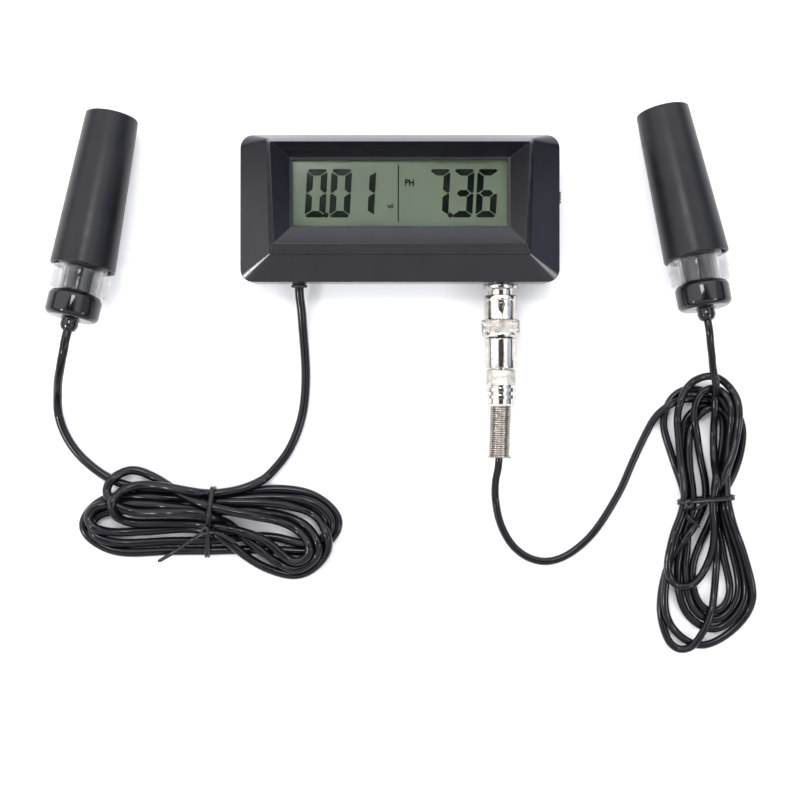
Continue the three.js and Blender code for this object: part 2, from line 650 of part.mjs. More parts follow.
function makePlug() {
  const { x, z } = JACK;
  const { start, shell, bore, knurl, knurlStart, end } = COUPLING;
  const neck = 4.4;
  const sleeve = turned([
    [bore, start],
    [shell, start],
    [shell, knurlStart],
    [knurl, knurlStart + 0.4],
    [knurl, end - 0.7],
    [knurl - 0.7, end],
    [neck + GAP, end],
    [neck + GAP, knurlStart],
    [bore, knurlStart - 0.6],
    [bore, start],
  ]);
  const windows = [-1, 1].flatMap((side) => {
    const quarter = (-side * Math.PI) / 2;
    const hole = rod(1.2, bore - 1, shell + 1, SMALL_ROUND).rotateX(quarter).translate(0, 0, LUG.at);
    const ramp = box(-0.8, 0.8, -2.4, 2.4, bore - 1, shell + 1).rotateZ(-0.6).rotateX(quarter);
    return [hole, ramp.translate(side * 1.6, 0, LUG.at + 2.2)];
  });
  add("bnc_coupling_nut", outOfBottom(cut(sleeve, ...windows), x, z), "nickel");

  const contactOuter = JACK.tube - JACK.wall - GAP;
  const clamp = PLUG_END + GAP;
  const body = turned([
    [2.9, 3.2],
    [contactOuter, 3.2],
    [contactOuter, JACK.tubeEnd + 0.9],
    [neck, JACK.tubeEnd + 0.9],
    [neck, end + GAP],
    [PLUG_RADIUS - 0.4, end + GAP],
    [PLUG_RADIUS, end + 0.8],
    [PLUG_RADIUS, PLUG_END],
    [3.9, PLUG_END],
    [3.9, 24],
    [2.9, 24],
    [2.9, 3.2],
  ]);
  add("bnc_plug_body", outOfBottom(body, x, z), "nickel");
  const dielectric = tube(2.6, 0.9, 9.2, 23, SMALL_ROUND);
  add("bnc_plug_insulator", outOfBottom(dielectric, x, z), "dielectric");
  const pin = turned([[0, 2.6], [0.25, 2.4], [0.45, 3.4], [0.45, 9], [0.6, 9.4], [0.6, 25.5], [0, 25.5]], 12);
  add("bnc_plug_pin", outOfBottom(pin, x, z), "brass");
  const gasket = tube(bore - GAP, contactOuter + GAP, JACK.tubeEnd + GAP / 2, JACK.tubeEnd + 0.65);
  add("bnc_plug_gasket", outOfBottom(gasket, x, z), "softBlack");
  const collar = 5.7;
  const waist = 4.75;
  const grip = turned([
    [2.2, 26],
    [3.6, 26],
    [3.6, clamp],
    [collar, clamp],
    [collar, 38],
    [waist, 38],
    [waist, 39.2],
    [collar, 39.2],
    [collar, 40.7],
    [waist, 40.7],
    [waist, 41.9],
    [collar, 41.9],
    [collar, 43.2],
    [waist, 43.2],
    [waist, CLAMP_END],
    [2.2, CLAMP_END],
    [2.2, 26],
  ]);
  add("bnc_cable_clamp", outOfBottom(grip, x, z), "nickel");
  const { radius, drift } = SPRING;
  const bush = PH_CORD_D / 2 + GAP;
  const relief = turned([
    [bush, CLAMP_END + GAP],
    [radius, CLAMP_END + GAP],
    [radius, SPRING.end - 1],
    [radius + 0.5, SPRING.end],
    [bush, SPRING.end],
    [bush, CLAMP_END + GAP],
  ]);
  const spring = add("strain_relief_spring", outOfBottom(relief, 0, 0), "steel");
  spring.position.set(x, 0, z);
  const long = SPRING.end - CLAMP_END;
  const bend = drift / long;
  spring.geometry.applyMatrix4(
    new THREE.Matrix4().set(1, -bend, 0, -bend * (CASE_HALF_Y + CLAMP_END), 0, 1, 0, 0, 0, 0, 1, 0, 0, 0, 0, 1),
  );
}

// ---------------------------------------------------------------- probes
// A frame at the sleeve's mouth whose own +Z runs the given way.
function mouthFrame(probe, way) {
  const turn = new THREE.Quaternion().setFromUnitVectors(new THREE.Vector3(0, 0, 1), way.normalize());
  return new THREE.Matrix4().compose(probe.mouth, turn, new THREE.Vector3(1, 1, 1));
}

function sleeveFrame(probe) {
  return mouthFrame(probe, probe.tip.clone().sub(probe.mouth));
}

function bodyFrame(probe) {
  return mouthFrame(probe, probe.mouth.clone().sub(probe.tail));
}

function makeProbe(prefix, probe, cordDiameter) {
  const long = probe.tip.distanceTo(probe.mouth);
  const frame = bodyFrame(probe);
  const place = (geometry) => geometry.applyMatrix4(frame);
  const p = PROBE;
  const mouthBore = p.sleeveMouth - p.sleeveWall;
  const tipBore = p.sleeveTip - p.sleeveWall;
  const sleeve = turned(
    [
      [0, long],
      [p.sleeveTip - 1.1, long],
      [p.sleeveTip - 0.3, long - 0.35],
      [p.sleeveTip, long - 1.1],
      [p.sleeveMouth, 0],
      [mouthBore, 0],
      [tipBore, long - 2.4],
      [0, long - 2.4],
    ],
    FINE_ROUND,
  );
  add(prefix + "_sleeve", sleeve.applyMatrix4(sleeveFrame(probe)), "sleeveBlack");

  const boreAt = (h) => mouthBore + ((tipBore - mouthBore) * h) / (long - 2.4);
  const seatDepth = 7;
  const stemStart = p.ringStart + p.ringLong + GAP;
  const askew = 0.45; // room for the probe's few degrees of lean in its sleeve
  const seat = boreAt(seatDepth) - GAP - askew;
  const lampEnd = long - 22;
  const body = turned([
    [0, -stemStart - 4.5],
    [4.2, -stemStart - 4.5],
    [4.2, -stemStart + GAP],
    [p.neck, -stemStart + GAP],
    [p.neck, -0.4],
    [p.neck + 1.8, 0],
    [seat, 0.9],
    [seat, seatDepth],
    [p.stem, seatDepth + 1.5],
    [p.stem, lampEnd],
    [4.2, lampEnd],
    [4.2, lampEnd - 5],
    [0, lampEnd - 5],
  ]);
  add(prefix + "_probe_body", place(body), "softBlack");

  const capEnd = stemStart + p.capLong;
  const corner = 2.4;
  const arc = [0, 1, 2, 3, 4].map((k) => {
    const a = (k * Math.PI) / 8;
    return [p.cap - corner + corner * Math.cos(a), -capEnd + corner - corner * Math.sin(a)];
  });
  const nubEnd = capEnd + p.nubLong;
  const cap = turned([
    [0, -stemStart - 4.8],
    [4.5, -stemStart - 4.8],
    [4.5, -stemStart],
    [p.cap - 0.3, -stemStart],
    [p.cap, -stemStart - 0.3],
    ...arc,
    [p.nub, -capEnd],
    [p.nub + 0.1, -nubEnd + 1.6],
    [p.nub - 0.5, -nubEnd + 0.6],
    [cordDiameter / 2 + 0.2, -nubEnd],
    [0, -nubEnd],
  ]);
  add(prefix + "_probe_cap", place(cap), "capBlack");

  const ringFoot = -p.ringStart - p.ringLong;
  const bore = p.neck + GAP;
  const band = turned(
    [
      [bore, ringFoot],
      [p.ring - 0.35, ringFoot],
      [p.ring - 0.35, ringFoot + p.ringLong / 2],
      [p.ring, ringFoot + p.ringLong / 2 + 0.3],
      [p.ring, -p.ringStart],
      [bore, -p.ringStart],
      [bore, ringFoot],
    ],
    FINE_ROUND,
  );
  place(band);
  const slit = place(box(-0.35, 0.35, -p.ring - 3, 2 - bore, ringFoot - 1, -p.ringStart + 1));
  const boss = rod(4.3, CUP.neckTop - 2.2, 11.2, ROUND).translate(probe.cup.x, probe.cup.y, 0);
  const passage = place(rod(bore, ringFoot - 3, -p.ringStart + 3, FINE_ROUND));
  const socket = rod(CUP.neck + GAP, 0, CUP.neckTop + GAP, ROUND).translate(probe.cup.x, probe.cup.y, 0);
  const ends = [
    place(box(-20, 20, -20, 20, -p.ringStart, 30)),
    place(box(-20, 20, -20, 20, -60, ringFoot)),
  ];
  const clip = cut(joined(band, boss), slit, passage, socket, ...ends);
  add(prefix + "_clip_ring", clip, "clearPlastic");

  const cup = turned(
    [
      [0, 2.4],
      [5, 2.1],
      [10, 1.3],
      [14.6, 0.3],
      [15.4, 0],
      [CUP.radius, 0],
      [CUP.radius, 0.5],
      [12.5, 2.1],
      [8, 3.5],
      [4.2, 4.4],
      [3.4, 5.9],
      [CUP.neck, 6.0],
      [CUP.neck, CUP.neckTop],
      [0, CUP.neckTop],
    ],
    FINE_ROUND,
  );
  add(prefix + "_suction_cup", cup.translate(probe.cup.x, probe.cup.y, 0), "clearPlastic");
  return { place, lampEnd };
}

function makeProbes() {
  const ec = makeProbe("ec", EC_PROBE, EC_CORD_D);
  for (const [name, side] of [["left", -1], ["right", 1]]) {
    const pin = turned(
      [
        [0, ec.lampEnd - 4.7],
        [0.8, ec.lampEnd - 4.7],
        [0.8, ec.lampEnd + 6.6],
        [0.4, ec.lampEnd + 7],
        [0, ec.lampEnd + 7],
      ],
      SMALL_ROUND,
    );
    add("ec_electrode_pin_" + name, ec.place(pin.translate(side * 2.2, 0, 0)), "steel");
  }
  const ph = makeProbe("ph", PH_PROBE, PH_CORD_D);
  const neck = 3.9;
  const foot = ph.lampEnd - 4.7;
  const bulb = 3.6;
  const bulbMiddle = ph.lampEnd + 4;
  const dome = [1, 2, 3, 4, 5].map((k) => {
    const a = (k * Math.PI) / 10;
    return [bulb * Math.cos(a), bulbMiddle + bulb * Math.sin(a)];
  });
  dome[4][0] = 0;
  const glass = turned([[0, foot], [neck, foot], [neck, ph.lampEnd + 1], [bulb, bulbMiddle], ...dome]);
  add("ph_glass_electrode", ph.place(glass), "glass");
}

// ---------------------------------------------------------------- cords
const SPRING_END_Y = -CASE_HALF_Y - SPRING.end - GAP;

// Each cord: the stretch from the meter to its hank, the hank, the stretch on to its probe.
const EC_FROM_METER = [
  [GLAND.x, -CASE_HALF_Y - 1.5, GLAND.z - 0.1],
  [GLAND.x + 0.1, -CASE_HALF_Y - 4.3, GLAND.z - 0.8],
  [GLAND.x + 0.7, -CASE_HALF_Y - 9.5, 2 * EC_REST + 0.3],
  [-36.8, -44.2, EC_REST + 0.7],
  [-36.2, -51.8, EC_REST + 0.1],
  [-35.7, -60.2, EC_REST],
  [-35.9, -67.8, EC_REST],
  [-36.6, -74.6, EC_REST],
  [-38.0, -80.3, EC_REST],
  [-40.1, -86.0, EC_REST],
  [-42.3, -90.4, EC_REST],
];
const EC_TO_PROBE = [
  [-117.0, -96.2, EC_REST],
  [-121.9, -91.9, EC_REST],
  [-124.6, -88.5, EC_REST],
  [-127.0, -84.5, EC_REST],
  [-128.9, -79.9, EC_REST],
  [-129.6, -74.6, EC_REST + 1.4],
  [-128.9, -68.9, 7.0],
  [-127.5, -63.3, 12.4],
  [-126.2, -59.7, 15.8],
  [-125.0, -56.1, 18.6],
  [-123.9, -52.5, 20.3],
];
const PH_FROM_PLUG = [
  [JACK.x - 0.9, SPRING_END_Y - 3.3, JACK.z - 1.1],
  [JACK.x - 1.6, SPRING_END_Y - 7.4, JACK.z - 3.1],
  [JACK.x - 1.8, SPRING_END_Y - 11.8, JACK.z - 5.1],
  [JACK.x - 1.5, SPRING_END_Y - 16.3, PH_REST + 0.5],
  [37.2, -115.6, PH_REST],
  [38.6, -119.4, PH_REST],
  [41.4, -124.8, PH_REST],
  [44.8, -128.6, PH_REST],
  [49.4, -131.4, PH_REST],
  [55.1, -132.6, PH_REST],
  [60.8, -131.4, PH_REST],
  [66.5, -128.0, PH_REST],
  [72.2, -122.9, PH_REST],
  [76.4, -117.4, PH_REST],
  [79.4, -112.6, PH_REST],
  [84.6, -103.5, PH_REST],
  [87.0, -97.4, PH_REST],
  [89.3, -92.1, PH_REST],
  [92.2, -86.0, PH_REST],
  [94.6, -81.1, PH_REST],
];
const PH_TO_PROBE = [
  [118.3, -66.0, PH_HANK.top + PH_REST + GAP],
  [117.6, -62.5, 10.6],
  [116.4, -58.5, 13.9],
  [115.7, -55.2, 16.3],
  [114.6, -50.5, 19.2],
];

function probeCordEnd(probe, cordDiameter) {
  const frame = bodyFrame(probe);
  const p = PROBE;
  const nubEnd = p.ringStart + p.ringLong + GAP + p.capLong + p.nubLong;
  const at = (h) => new THREE.Vector3(0, 0, -h).applyMatrix4(frame).toArray();
  return [at(nubEnd + GAP), at(nubEnd + GAP + 1.2 * cordDiameter)];
}

function hank(name, { minX, maxX, minY, maxY, top }) {
  const alongX = maxX - minX > maxY - minY;
  const r = alongX ? (maxY - minY) / 2 : (maxX - minX) / 2;
  const shape = new THREE.Shape();
  if (alongX) {
    const y = (minY + maxY) / 2;
    shape.absarc(maxX - r, y, r, -Math.PI / 2, Math.PI / 2, false);
    shape.absarc(minX + r, y, r, Math.PI / 2, (3 * Math.PI) / 2, false);
  } else {
    const x = (minX + maxX) / 2;
    shape.absarc(x, maxY - r, r, 0, Math.PI, false);
    shape.absarc(x, minY + r, r, Math.PI, 2 * Math.PI, false);
  }
  const solid = new THREE.ExtrudeGeometry(shape, { depth: top, bevelEnabled: false, curveSegments: 10 });
  add(name, solid, "cordBlack");
}

function makeCords() {
  const ecEnd = probeCordEnd(EC_PROBE, EC_CORD_D);
  const phEnd = probeCordEnd(PH_PROBE, PH_CORD_D);
  const plugExit = [JACK.x + SPRING.drift, SPRING_END_Y, JACK.z];
  add("ec_cord_to_meter", along(EC_FROM_METER, EC_CORD_D, 2.5 * EC_CORD_D), "cordBlack");
  hank("ec_cord_hank", EC_HANK);
  add("ec_cord_to_probe", along([...EC_TO_PROBE, ecEnd[1], ecEnd[0]], EC_CORD_D, 2.5 * EC_CORD_D), "cordBlack");
  add("ph_cord_to_plug", along([plugExit, ...PH_FROM_PLUG], PH_CORD_D, 2.5 * PH_CORD_D), "cordBlack");
  hank("ph_cord_hank", PH_HANK);
  add("ph_cord_to_probe", along([...PH_TO_PROBE, phEnd[1], phEnd[0]], PH_CORD_D, 2.5 * PH_CORD_D), "cordBlack");
  const over = EC_HANK.top + TIE_D / 2 + GAP;
  const ecTie = [
    [-61.8, -124.2, over],
    [-67.0, -121.4, over],
    [-73.0, -119.8, over],
    [-82.0, -126.0, over],
    [-91.0, -131.5, over],
  ];
  const phTie = [
    [106.4, -108.8, over],
    [112.0, -107.0, over],
    [119.0, -108.6, over],
    [125.7, -107.2, over],
  ];
  add("ec_cord_tie", along(ecTie, TIE_D, 4, 8), "softBlack");
  add("ph_cord_tie", along(phTie, TIE_D, 4, 8), "softBlack");
}

makeHousing();
makeDisplay();
makeElectronics();
makeSwitch();
makeCells();
makeGland();
makeJack();
makePlug();
makeProbes();
makeCords();

export default meter;
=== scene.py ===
"""Looks of the two-channel water monitor: materials, cords and finely shaped visible pieces, round
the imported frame. Shapes are worked out in millimetres and handed to Blender in metres."""

import json
import math

import bmesh
import bpy
import numpy as np
from mathutils import Matrix, Vector

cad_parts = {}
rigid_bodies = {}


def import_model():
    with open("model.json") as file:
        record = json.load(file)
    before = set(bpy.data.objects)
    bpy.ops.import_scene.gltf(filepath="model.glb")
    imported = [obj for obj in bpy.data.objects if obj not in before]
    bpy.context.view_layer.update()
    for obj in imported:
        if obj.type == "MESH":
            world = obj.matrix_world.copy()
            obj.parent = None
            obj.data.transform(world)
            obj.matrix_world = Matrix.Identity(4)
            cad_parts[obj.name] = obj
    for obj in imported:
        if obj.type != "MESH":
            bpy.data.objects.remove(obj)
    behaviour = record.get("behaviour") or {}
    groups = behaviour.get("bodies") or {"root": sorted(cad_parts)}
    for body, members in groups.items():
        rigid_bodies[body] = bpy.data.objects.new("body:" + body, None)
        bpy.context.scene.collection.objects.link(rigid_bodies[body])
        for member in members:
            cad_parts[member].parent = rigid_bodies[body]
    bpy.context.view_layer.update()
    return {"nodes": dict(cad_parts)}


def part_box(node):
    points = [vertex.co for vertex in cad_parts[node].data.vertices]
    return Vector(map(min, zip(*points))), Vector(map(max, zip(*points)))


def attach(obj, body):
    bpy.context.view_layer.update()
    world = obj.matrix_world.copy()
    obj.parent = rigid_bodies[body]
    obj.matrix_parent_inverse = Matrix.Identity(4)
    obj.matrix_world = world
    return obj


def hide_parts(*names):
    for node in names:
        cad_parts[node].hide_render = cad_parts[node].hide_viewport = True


for leftover in list(bpy.data.objects):
    bpy.data.objects.remove(leftover, do_unlink=True)
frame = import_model()
MM = 0.001

# ---------------------------------------------------------------- sizes, in millimetres
CASE_HALF_X, CASE_HALF_Y, CASE_CORNER, CASE_WALL = 59.05, 27.2, 4.8, 2.0
SEAM_Z, SKIRT_Z, GAP = 15.7, 18.0, 0.3
FRAME_FOOT = dict(low=-17.5, high=24.5, half_low=47.7, half_high=48.7, z_low=24.0, z_high=27.0)
FRAME_RIDGE = dict(low=-14.0, high=22.7, half_low=45.9, half_high=47.2, z_low=28.0, z_high=31.0)
WINDOW = dict(half_x=39.4, low=-7.1, high=17.2)
WINDOW_Z, LIP, LENS_MARGIN, POCKET_FOOT_Z, SHELL_DROP = 23.0, 0.8, 1.6, 17.0, 2.2

JACK_X, JACK_Z, GLAND_X, GLAND_Z = 37.8, 8.5, -38.0, 6.0
SPRING_START, SPRING_END, SPRING_RADIUS, SPRING_DRIFT = 45.6, 65.7, 3.95, -0.6

# A probe's sleeve runs from mouth to tip, its cable nub points to its tail, and its cup is on the table.
EC_PROBE = dict(
    mouth=Vector((-117.5, -22.2, 17.3)),
    tip=Vector((-107.8, 35.4, 10.0)),
    tail=Vector((-122.65, -46.3, 20.3)),
    cup=Vector((-113.9, -30.8, 0)),
)
PH_PROBE = dict(
    mouth=Vector((109.8, -18.2, 17.3)),
    tip=Vector((98.2, 37.6, 10.0)),
    tail=Vector((113.25, -41.3, 20.2)),
    cup=Vector((110.5, -24.3, 0)),
)
# The sleeve's outer radii at its mouth and tip, and how thick its wall and its closed end are.
SLEEVE_MOUTH, SLEEVE_TIP, SLEEVE_WALL, SLEEVE_END = 12.1, 9.85, 1.6, 2.4
# How far behind the sleeve's mouth the clip and the cap start and the cable ends, and how long each piece is.
CLIP_START, CLIP_LONG, CLIP_SLIT = 0.9, 8.4, 0.8
CAP_START, CAP_LONG, NUB_LONG, CORD_SEAT = 9.6, 9.6, 4.7, 23.6
EC_CORD_D, PH_CORD_D, TIE_WIDE, TIE_THICK = 3.4, 2.9, 2.0, 1.1

# ---------------------------------------------------------------- node materials


class Shader:
    """A Principled material whose colour, roughness and relief come from noise in object space."""

    def __init__(self, name, **uniform):
        self.mat = bpy.data.materials.new(name)
        self.mat.use_nodes = True
        self.tree = self.mat.node_tree
        self.bsdf = self.tree.nodes["Principled BSDF"]
        for socket, value in uniform.items():
            self.bsdf.inputs[socket.replace("_", " ")].default_value = value
        self.where = self.tree.nodes.new("ShaderNodeTexCoord").outputs["Object"]

    def stretched(self, scale):
        node = self.tree.nodes.new("ShaderNodeMapping")
        node.inputs["Scale"].default_value = scale
        self.tree.links.new(self.where, node.inputs["Vector"])
        return node.outputs["Vector"]

    def noise(self, scale, detail=3.0):
        node = self.tree.nodes.new("ShaderNodeTexNoise")
        node.inputs["Scale"].default_value = scale
        node.inputs["Detail"].default_value = detail
        self.tree.links.new(self.where, node.inputs["Vector"])
        return node.outputs["Fac"]

    def ramp(self, source, stops):
        node = self.tree.nodes.new("ShaderNodeValToRGB")
        while len(node.color_ramp.elements) < len(stops):
            node.color_ramp.elements.new(0.5)
        for element, (at, colour) in zip(node.color_ramp.elements, stops):
            element.position = at
            element.color = (*colour, 1.0)
        self.tree.links.new(source, node.inputs["Fac"])
        return node.outputs["Color"]

    def spread(self, source, low, high):
        node = self.tree.nodes.new("ShaderNodeMapRange")
        node.inputs["From Min"].default_value = 0.3
        node.inputs["From Max"].default_value = 0.7
        node.inputs["To Min"].default_value = low
        node.inputs["To Max"].default_value = high
        self.tree.links.new(source, node.inputs["Value"])
        return node.outputs["Result"]

    def colour(self, dark, light, scale):
        mixed = self.ramp(self.noise(scale), [(0.35, dark), (0.65, light)])
        self.tree.links.new(mixed, self.bsdf.inputs["Base Color"])
        return self

    def roughness(self, low, high, scale):
        patchy = self.spread(self.noise(scale), low, high)
        self.tree.links.new(patchy, self.bsdf.inputs["Roughness"])
        return self

    def relief(self, height, strength, depth):
        node = self.tree.nodes.new("ShaderNodeBump")
        node.inputs["Strength"].default_value = strength
        node.inputs["Distance"].default_value = depth
        self.tree.links.new(height, node.inputs["Height"])
        self.tree.links.new(node.outputs["Normal"], self.bsdf.inputs["Normal"])
        return self


def moulded(name, dark, light, rough, grain, strength, **uniform):
    """Moulded plastic: faint cloudy colour, patchy gloss and a fine spark-eroded grain."""
    s = Shader(name, **uniform)
    s.colour(dark, light, scale=90).roughness(*rough, scale=260)
    return s.relief(s.noise(grain, 2.0), strength, depth=0.00006).mat


def plated(name, dark, light, rough, strength):
    """Plated metal: cloudy tint, patchy polish and the faint ripple of a turned surface."""
    s = Shader(name, Metallic=1.0)
    s.colour(dark, light, scale=420).roughness(*rough, scale=900)
    return s.relief(s.noise(1500, 2.0), strength, depth=0.00004).mat


def clear(name, tint, rough, ior, **uniform):
    """Clear moulding: a tint that hardly drifts, nearly even gloss and a faint waviness."""
    s = Shader(name, Transmission_Weight=1.0, IOR=ior, **uniform)
    paler = tuple(min(1.0, c * 1.03) for c in tint)
    s.colour(tint, paler, scale=60).roughness(rough, rough + 0.03, scale=400)
    return s.relief(s.noise(700, 1.0), strength=0.03, depth=0.00004).mat


CASE = moulded("moulded_case", (0.0065, 0.0065, 0.0095), (0.0085, 0.0085, 0.0115), (0.16, 0.22), 2200, 0.012,
               Specular_IOR_Level=0.38)
COVER = moulded("moulded_cover", (0.007, 0.007, 0.009), (0.010, 0.010, 0.012), (0.14, 0.20), 2200, 0.02)
SLEEVE = moulded("moulded_sleeve", (0.005, 0.005, 0.0065), (0.009, 0.009, 0.0105), (0.30, 0.38), 2400, 0.16,
                 Specular_IOR_Level=0.26)
GLOSS = moulded("gloss_cap", (0.004, 0.004, 0.005), (0.006, 0.006, 0.007), (0.05, 0.10), 900, 0.03,
                Specular_IOR_Level=0.38)
PROBE_BLACK = moulded("probe_black", (0.008, 0.008, 0.01), (0.014, 0.014, 0.016), (0.10, 0.2), 1500, 0.06)
RUBBER = moulded("soft_black", (0.014, 0.014, 0.015), (0.022, 0.022, 0.023), (0.45, 0.6), 3500, 0.25)
SWITCH_BLACK = moulded("switch_black", (0.004, 0.004, 0.005), (0.008, 0.008, 0.009), (0.35, 0.5), 2400, 0.1,
                       Specular_IOR_Level=0.2)
CORD = moulded("cord_black", (0.003, 0.003, 0.0042), (0.005, 0.005, 0.0065), (0.14, 0.20), 1400, 0.08,
               Specular_IOR_Level=0.28)
TIE = moulded("tie_black", (0.006, 0.006, 0.007), (0.011, 0.011, 0.013), (0.18, 0.28), 1800, 0.12,
              Specular_IOR_Level=0.38)
NICKEL = plated("nickel_plate", (0.47, 0.44, 0.395), (0.64, 0.61, 0.56), (0.05, 0.10), 0.14)
SPRING_STEEL = plated("spring_wire", (0.27, 0.245, 0.21), (0.40, 0.365, 0.32), (0.16, 0.28), 0.3)
STEEL = plated("plain_steel", (0.45, 0.45, 0.47), (0.6, 0.6, 0.62), (0.2, 0.34), 0.3)
BRASS = plated("gilt_brass", (0.68, 0.5, 0.2), (0.8, 0.62, 0.3), (0.15, 0.28), 0.2)
CLEAR_RING = clear("clear_ring", (0.93, 0.905, 0.86), 0.01, 1.46, Alpha=0.42)
CLEAR_CUP = clear("clear_cup", (0.975, 0.975, 0.98), 0.02, 1.40, Alpha=0.16)
LENS = clear("display_lens", (0.97, 0.98, 0.97), 0.015, 1.02)
GLASS = clear("electrode_glass", (0.95, 0.97, 0.97), 0.0, 1.47)
DIELECTRIC = moulded("white_dielectric", (0.80, 0.79, 0.75), (0.86, 0.85, 0.82), (0.4, 0.5), 1500, 0.08)
REFLECTOR = moulded("reflector_white", (0.74, 0.74, 0.71), (0.8, 0.8, 0.77), (0.5, 0.6), 1500, 0.08)
ZEBRA = moulded("contact_rubber", (0.40, 0.30, 0.28), (0.48, 0.38, 0.36), (0.5, 0.6), 2500, 0.15)
RESIN = moulded("chip_resin", (0.010, 0.010, 0.012), (0.016, 0.016, 0.018), (0.2, 0.3), 3000, 0.1)
TRIMMER_BLUE = moulded("trimmer_blue", (0.02, 0.11, 0.42), (0.03, 0.15, 0.5), (0.35, 0.45), 2500, 0.1)
CELL_WRAP = moulded("cell_wrap", (0.10, 0.12, 0.15), (0.17, 0.19, 0.22), (0.22, 0.32), 800, 0.05, Metallic=0.4)


def liquid_crystal():
    """The display's grey-green cell: a slow tone drift over fine rubbing grain."""
    s = Shader("lcd_cell")
    s.colour((0.094, 0.116, 0.080), (0.108, 0.131, 0.093), 22)
    s.roughness(0.10, 0.14, 300)
    return s.relief(s.noise(6000, 1.0), 0.06, 0.00003).mat


def circuit_board():
    """Green solder mask with lighter tracks from a stretched cell pattern."""
    s = Shader("circuit_board")
    tracks = s.tree.nodes.new("ShaderNodeTexVoronoi")
    tracks.feature = "DISTANCE_TO_EDGE"
    tracks.inputs["Scale"].default_value = 160
    s.tree.links.new(s.stretched((1, 2.2, 1)), tracks.inputs["Vector"])
    green = s.ramp(tracks.outputs["Distance"], [(0.03, (0.05, 0.24, 0.11)), (0.06, (0.015, 0.10, 0.04))])
    s.tree.links.new(green, s.bsdf.inputs["Base Color"])
    s.roughness(0.3, 0.45, 500)
    return s.relief(tracks.outputs["Distance"], 0.2, 0.00005).mat


LCD_CELL, BOARD = liquid_crystal(), circuit_board()
LCD_INK = moulded("lcd_segment", (0.003, 0.005, 0.004), (0.006, 0.008, 0.006), (0.10, 0.14), 2500, 0.02,
                  Specular_IOR_Level=0.25)

# ---------------------------------------------------------------- mesh helpers


def filleted(points, radius, steps=4, looped=False):
    """The outline with each corner rounded by a circular arc, as large as its sides allow."""
    n, out = len(points), []
    for i, p in enumerate(points):
        here = Vector(p)
        if not looped and i in (0, n - 1):
            out.append(tuple(here))
            continue
        before, after = Vector(points[i - 1]) - here, Vector(points[(i + 1) % n]) - here
        half = before.angle(after) / 2
        if half > math.radians(86) or before.length < 1e-6:
            out.append(tuple(here))
            continue
        leg = min(radius / math.tan(half), 0.45 * before.length, 0.45 * after.length)
        r = leg * math.tan(half)
        centre = here + (before.normalized() + after.normalized()).normalized() * (r / math.sin(half))
        a, b = here + before.normalized() * leg - centre, here + after.normalized() * leg - centre
        for k in range(steps + 1):
            t = k / steps
            arm = (a * (1 - t) + b * t).normalized() * r
            out.append(tuple(centre + arm))
    return out


def lathe(profile, segments=96, radius_at=None, looped=False):
    """Turns [radius, height] points about +Z. radius_at may push a point in or out by angle and height."""
    verts, rows = [], []
    for r, h in profile:
        if r < 1e-6:
            verts.append((0.0, 0.0, h))
            rows.append([len(verts) - 1])
            continue
        row = []
        for k in range(segments):
            a = 2 * math.pi * k / segments
            rr = r + (radius_at(a, h) if radius_at else 0.0)
            verts.append((rr * math.cos(a), rr * math.sin(a), h))
            row.append(len(verts) - 1)
        rows.append(row)
    faces = []
    pairs = list(zip(rows, rows[1:])) + ([(rows[-1], rows[0])] if looped else [])
    for low, high in pairs:
        for k in range(segments):
            a, b = low[k % len(low)], low[(k + 1) % len(low)]
            c, d = high[(k + 1) % len(high)], high[k % len(high)]
            face = [i for j, i in enumerate((a, b, c, d)) if i not in (a, b, c, d)[:j]]
            if len(face) > 2:
                faces.append(face)
    return verts, faces


def tube_faces(rings, around):
    """Faces of a tube closed at both ends, whose points go ring by ring."""
    faces = []
    for i in range(rings - 1):
        for k in range(around):
            a, b = i * around + k, i * around + (k + 1) % around
            faces.append([a, b, b + around, a + around])
    return faces + [list(range(around)), [(rings - 1) * around + k for k in range(around)]]


def split_ring(profile, gap, segments=112):
    """A turned ring left open by a narrow slit at -Y, which is gap wide at the outside."""
    opening, verts = gap / max(r for r, _ in profile), []
    for k in range(segments + 1):
        a = -math.pi / 2 + opening / 2 + (2 * math.pi - opening) * k / segments
        verts += [(r * math.cos(a), r * math.sin(a), h) for r, h in profile]
    return verts, tube_faces(segments + 1, len(profile))


def circle(radius, count, x=0.0, y=0.0):
    turns = np.linspace(0, 2 * math.pi, count, endpoint=False)
    return [(x + radius * math.cos(a), y + radius * math.sin(a)) for a in turns]


def along_axis(start, way):
    """Takes +Z to the given way by the shortest turn, and the origin to start."""
    turn = Vector((0, 0, 1)).rotation_difference(Vector(way).normalized()).to_matrix().to_4x4()
    return Matrix.Translation(start) @ turn


def linked(name, data):
    made = bpy.data.objects.new(name, data)
    bpy.context.scene.collection.objects.link(made)
    return made


def mesh_of(name, shape, to):
    """A mesh from millimetre points, with its faces turned outwards."""
    verts, faces = shape
    mesh = bpy.data.meshes.new(name)
    mesh.from_pydata([tuple((to @ Vector(v)) * MM) for v in verts], [], faces)
    work = bmesh.new()
    work.from_mesh(mesh)
    bmesh.ops.remove_doubles(work, verts=work.verts, dist=1e-7)
    bmesh.ops.recalc_face_normals(work, faces=work.faces)
    work.to_mesh(mesh)
    work.free()
    return mesh


def piece(name, shape, mat, body, stands_for=(), to=None, crease=32, smooth=True):
    """One mesh piece from millimetre points, riding on a body."""
    mesh = mesh_of(name, shape, to or Matrix.Identity(4))
    if smooth:
        mesh.polygons.foreach_set("use_smooth", [True] * len(mesh.polygons))
        mesh.set_sharp_from_angle(angle=math.radians(crease))
    mesh.materials.append(mat)
    made = linked(name, mesh)
    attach(made, body)
    if stands_for:
        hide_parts(*stands_for)
    return made


def merged(*shapes):
    verts, faces = [], []
    for v, f in shapes:
        base = len(verts)
        verts += list(v)
        faces += [[i + base for i in face] for face in f]
    return verts, faces


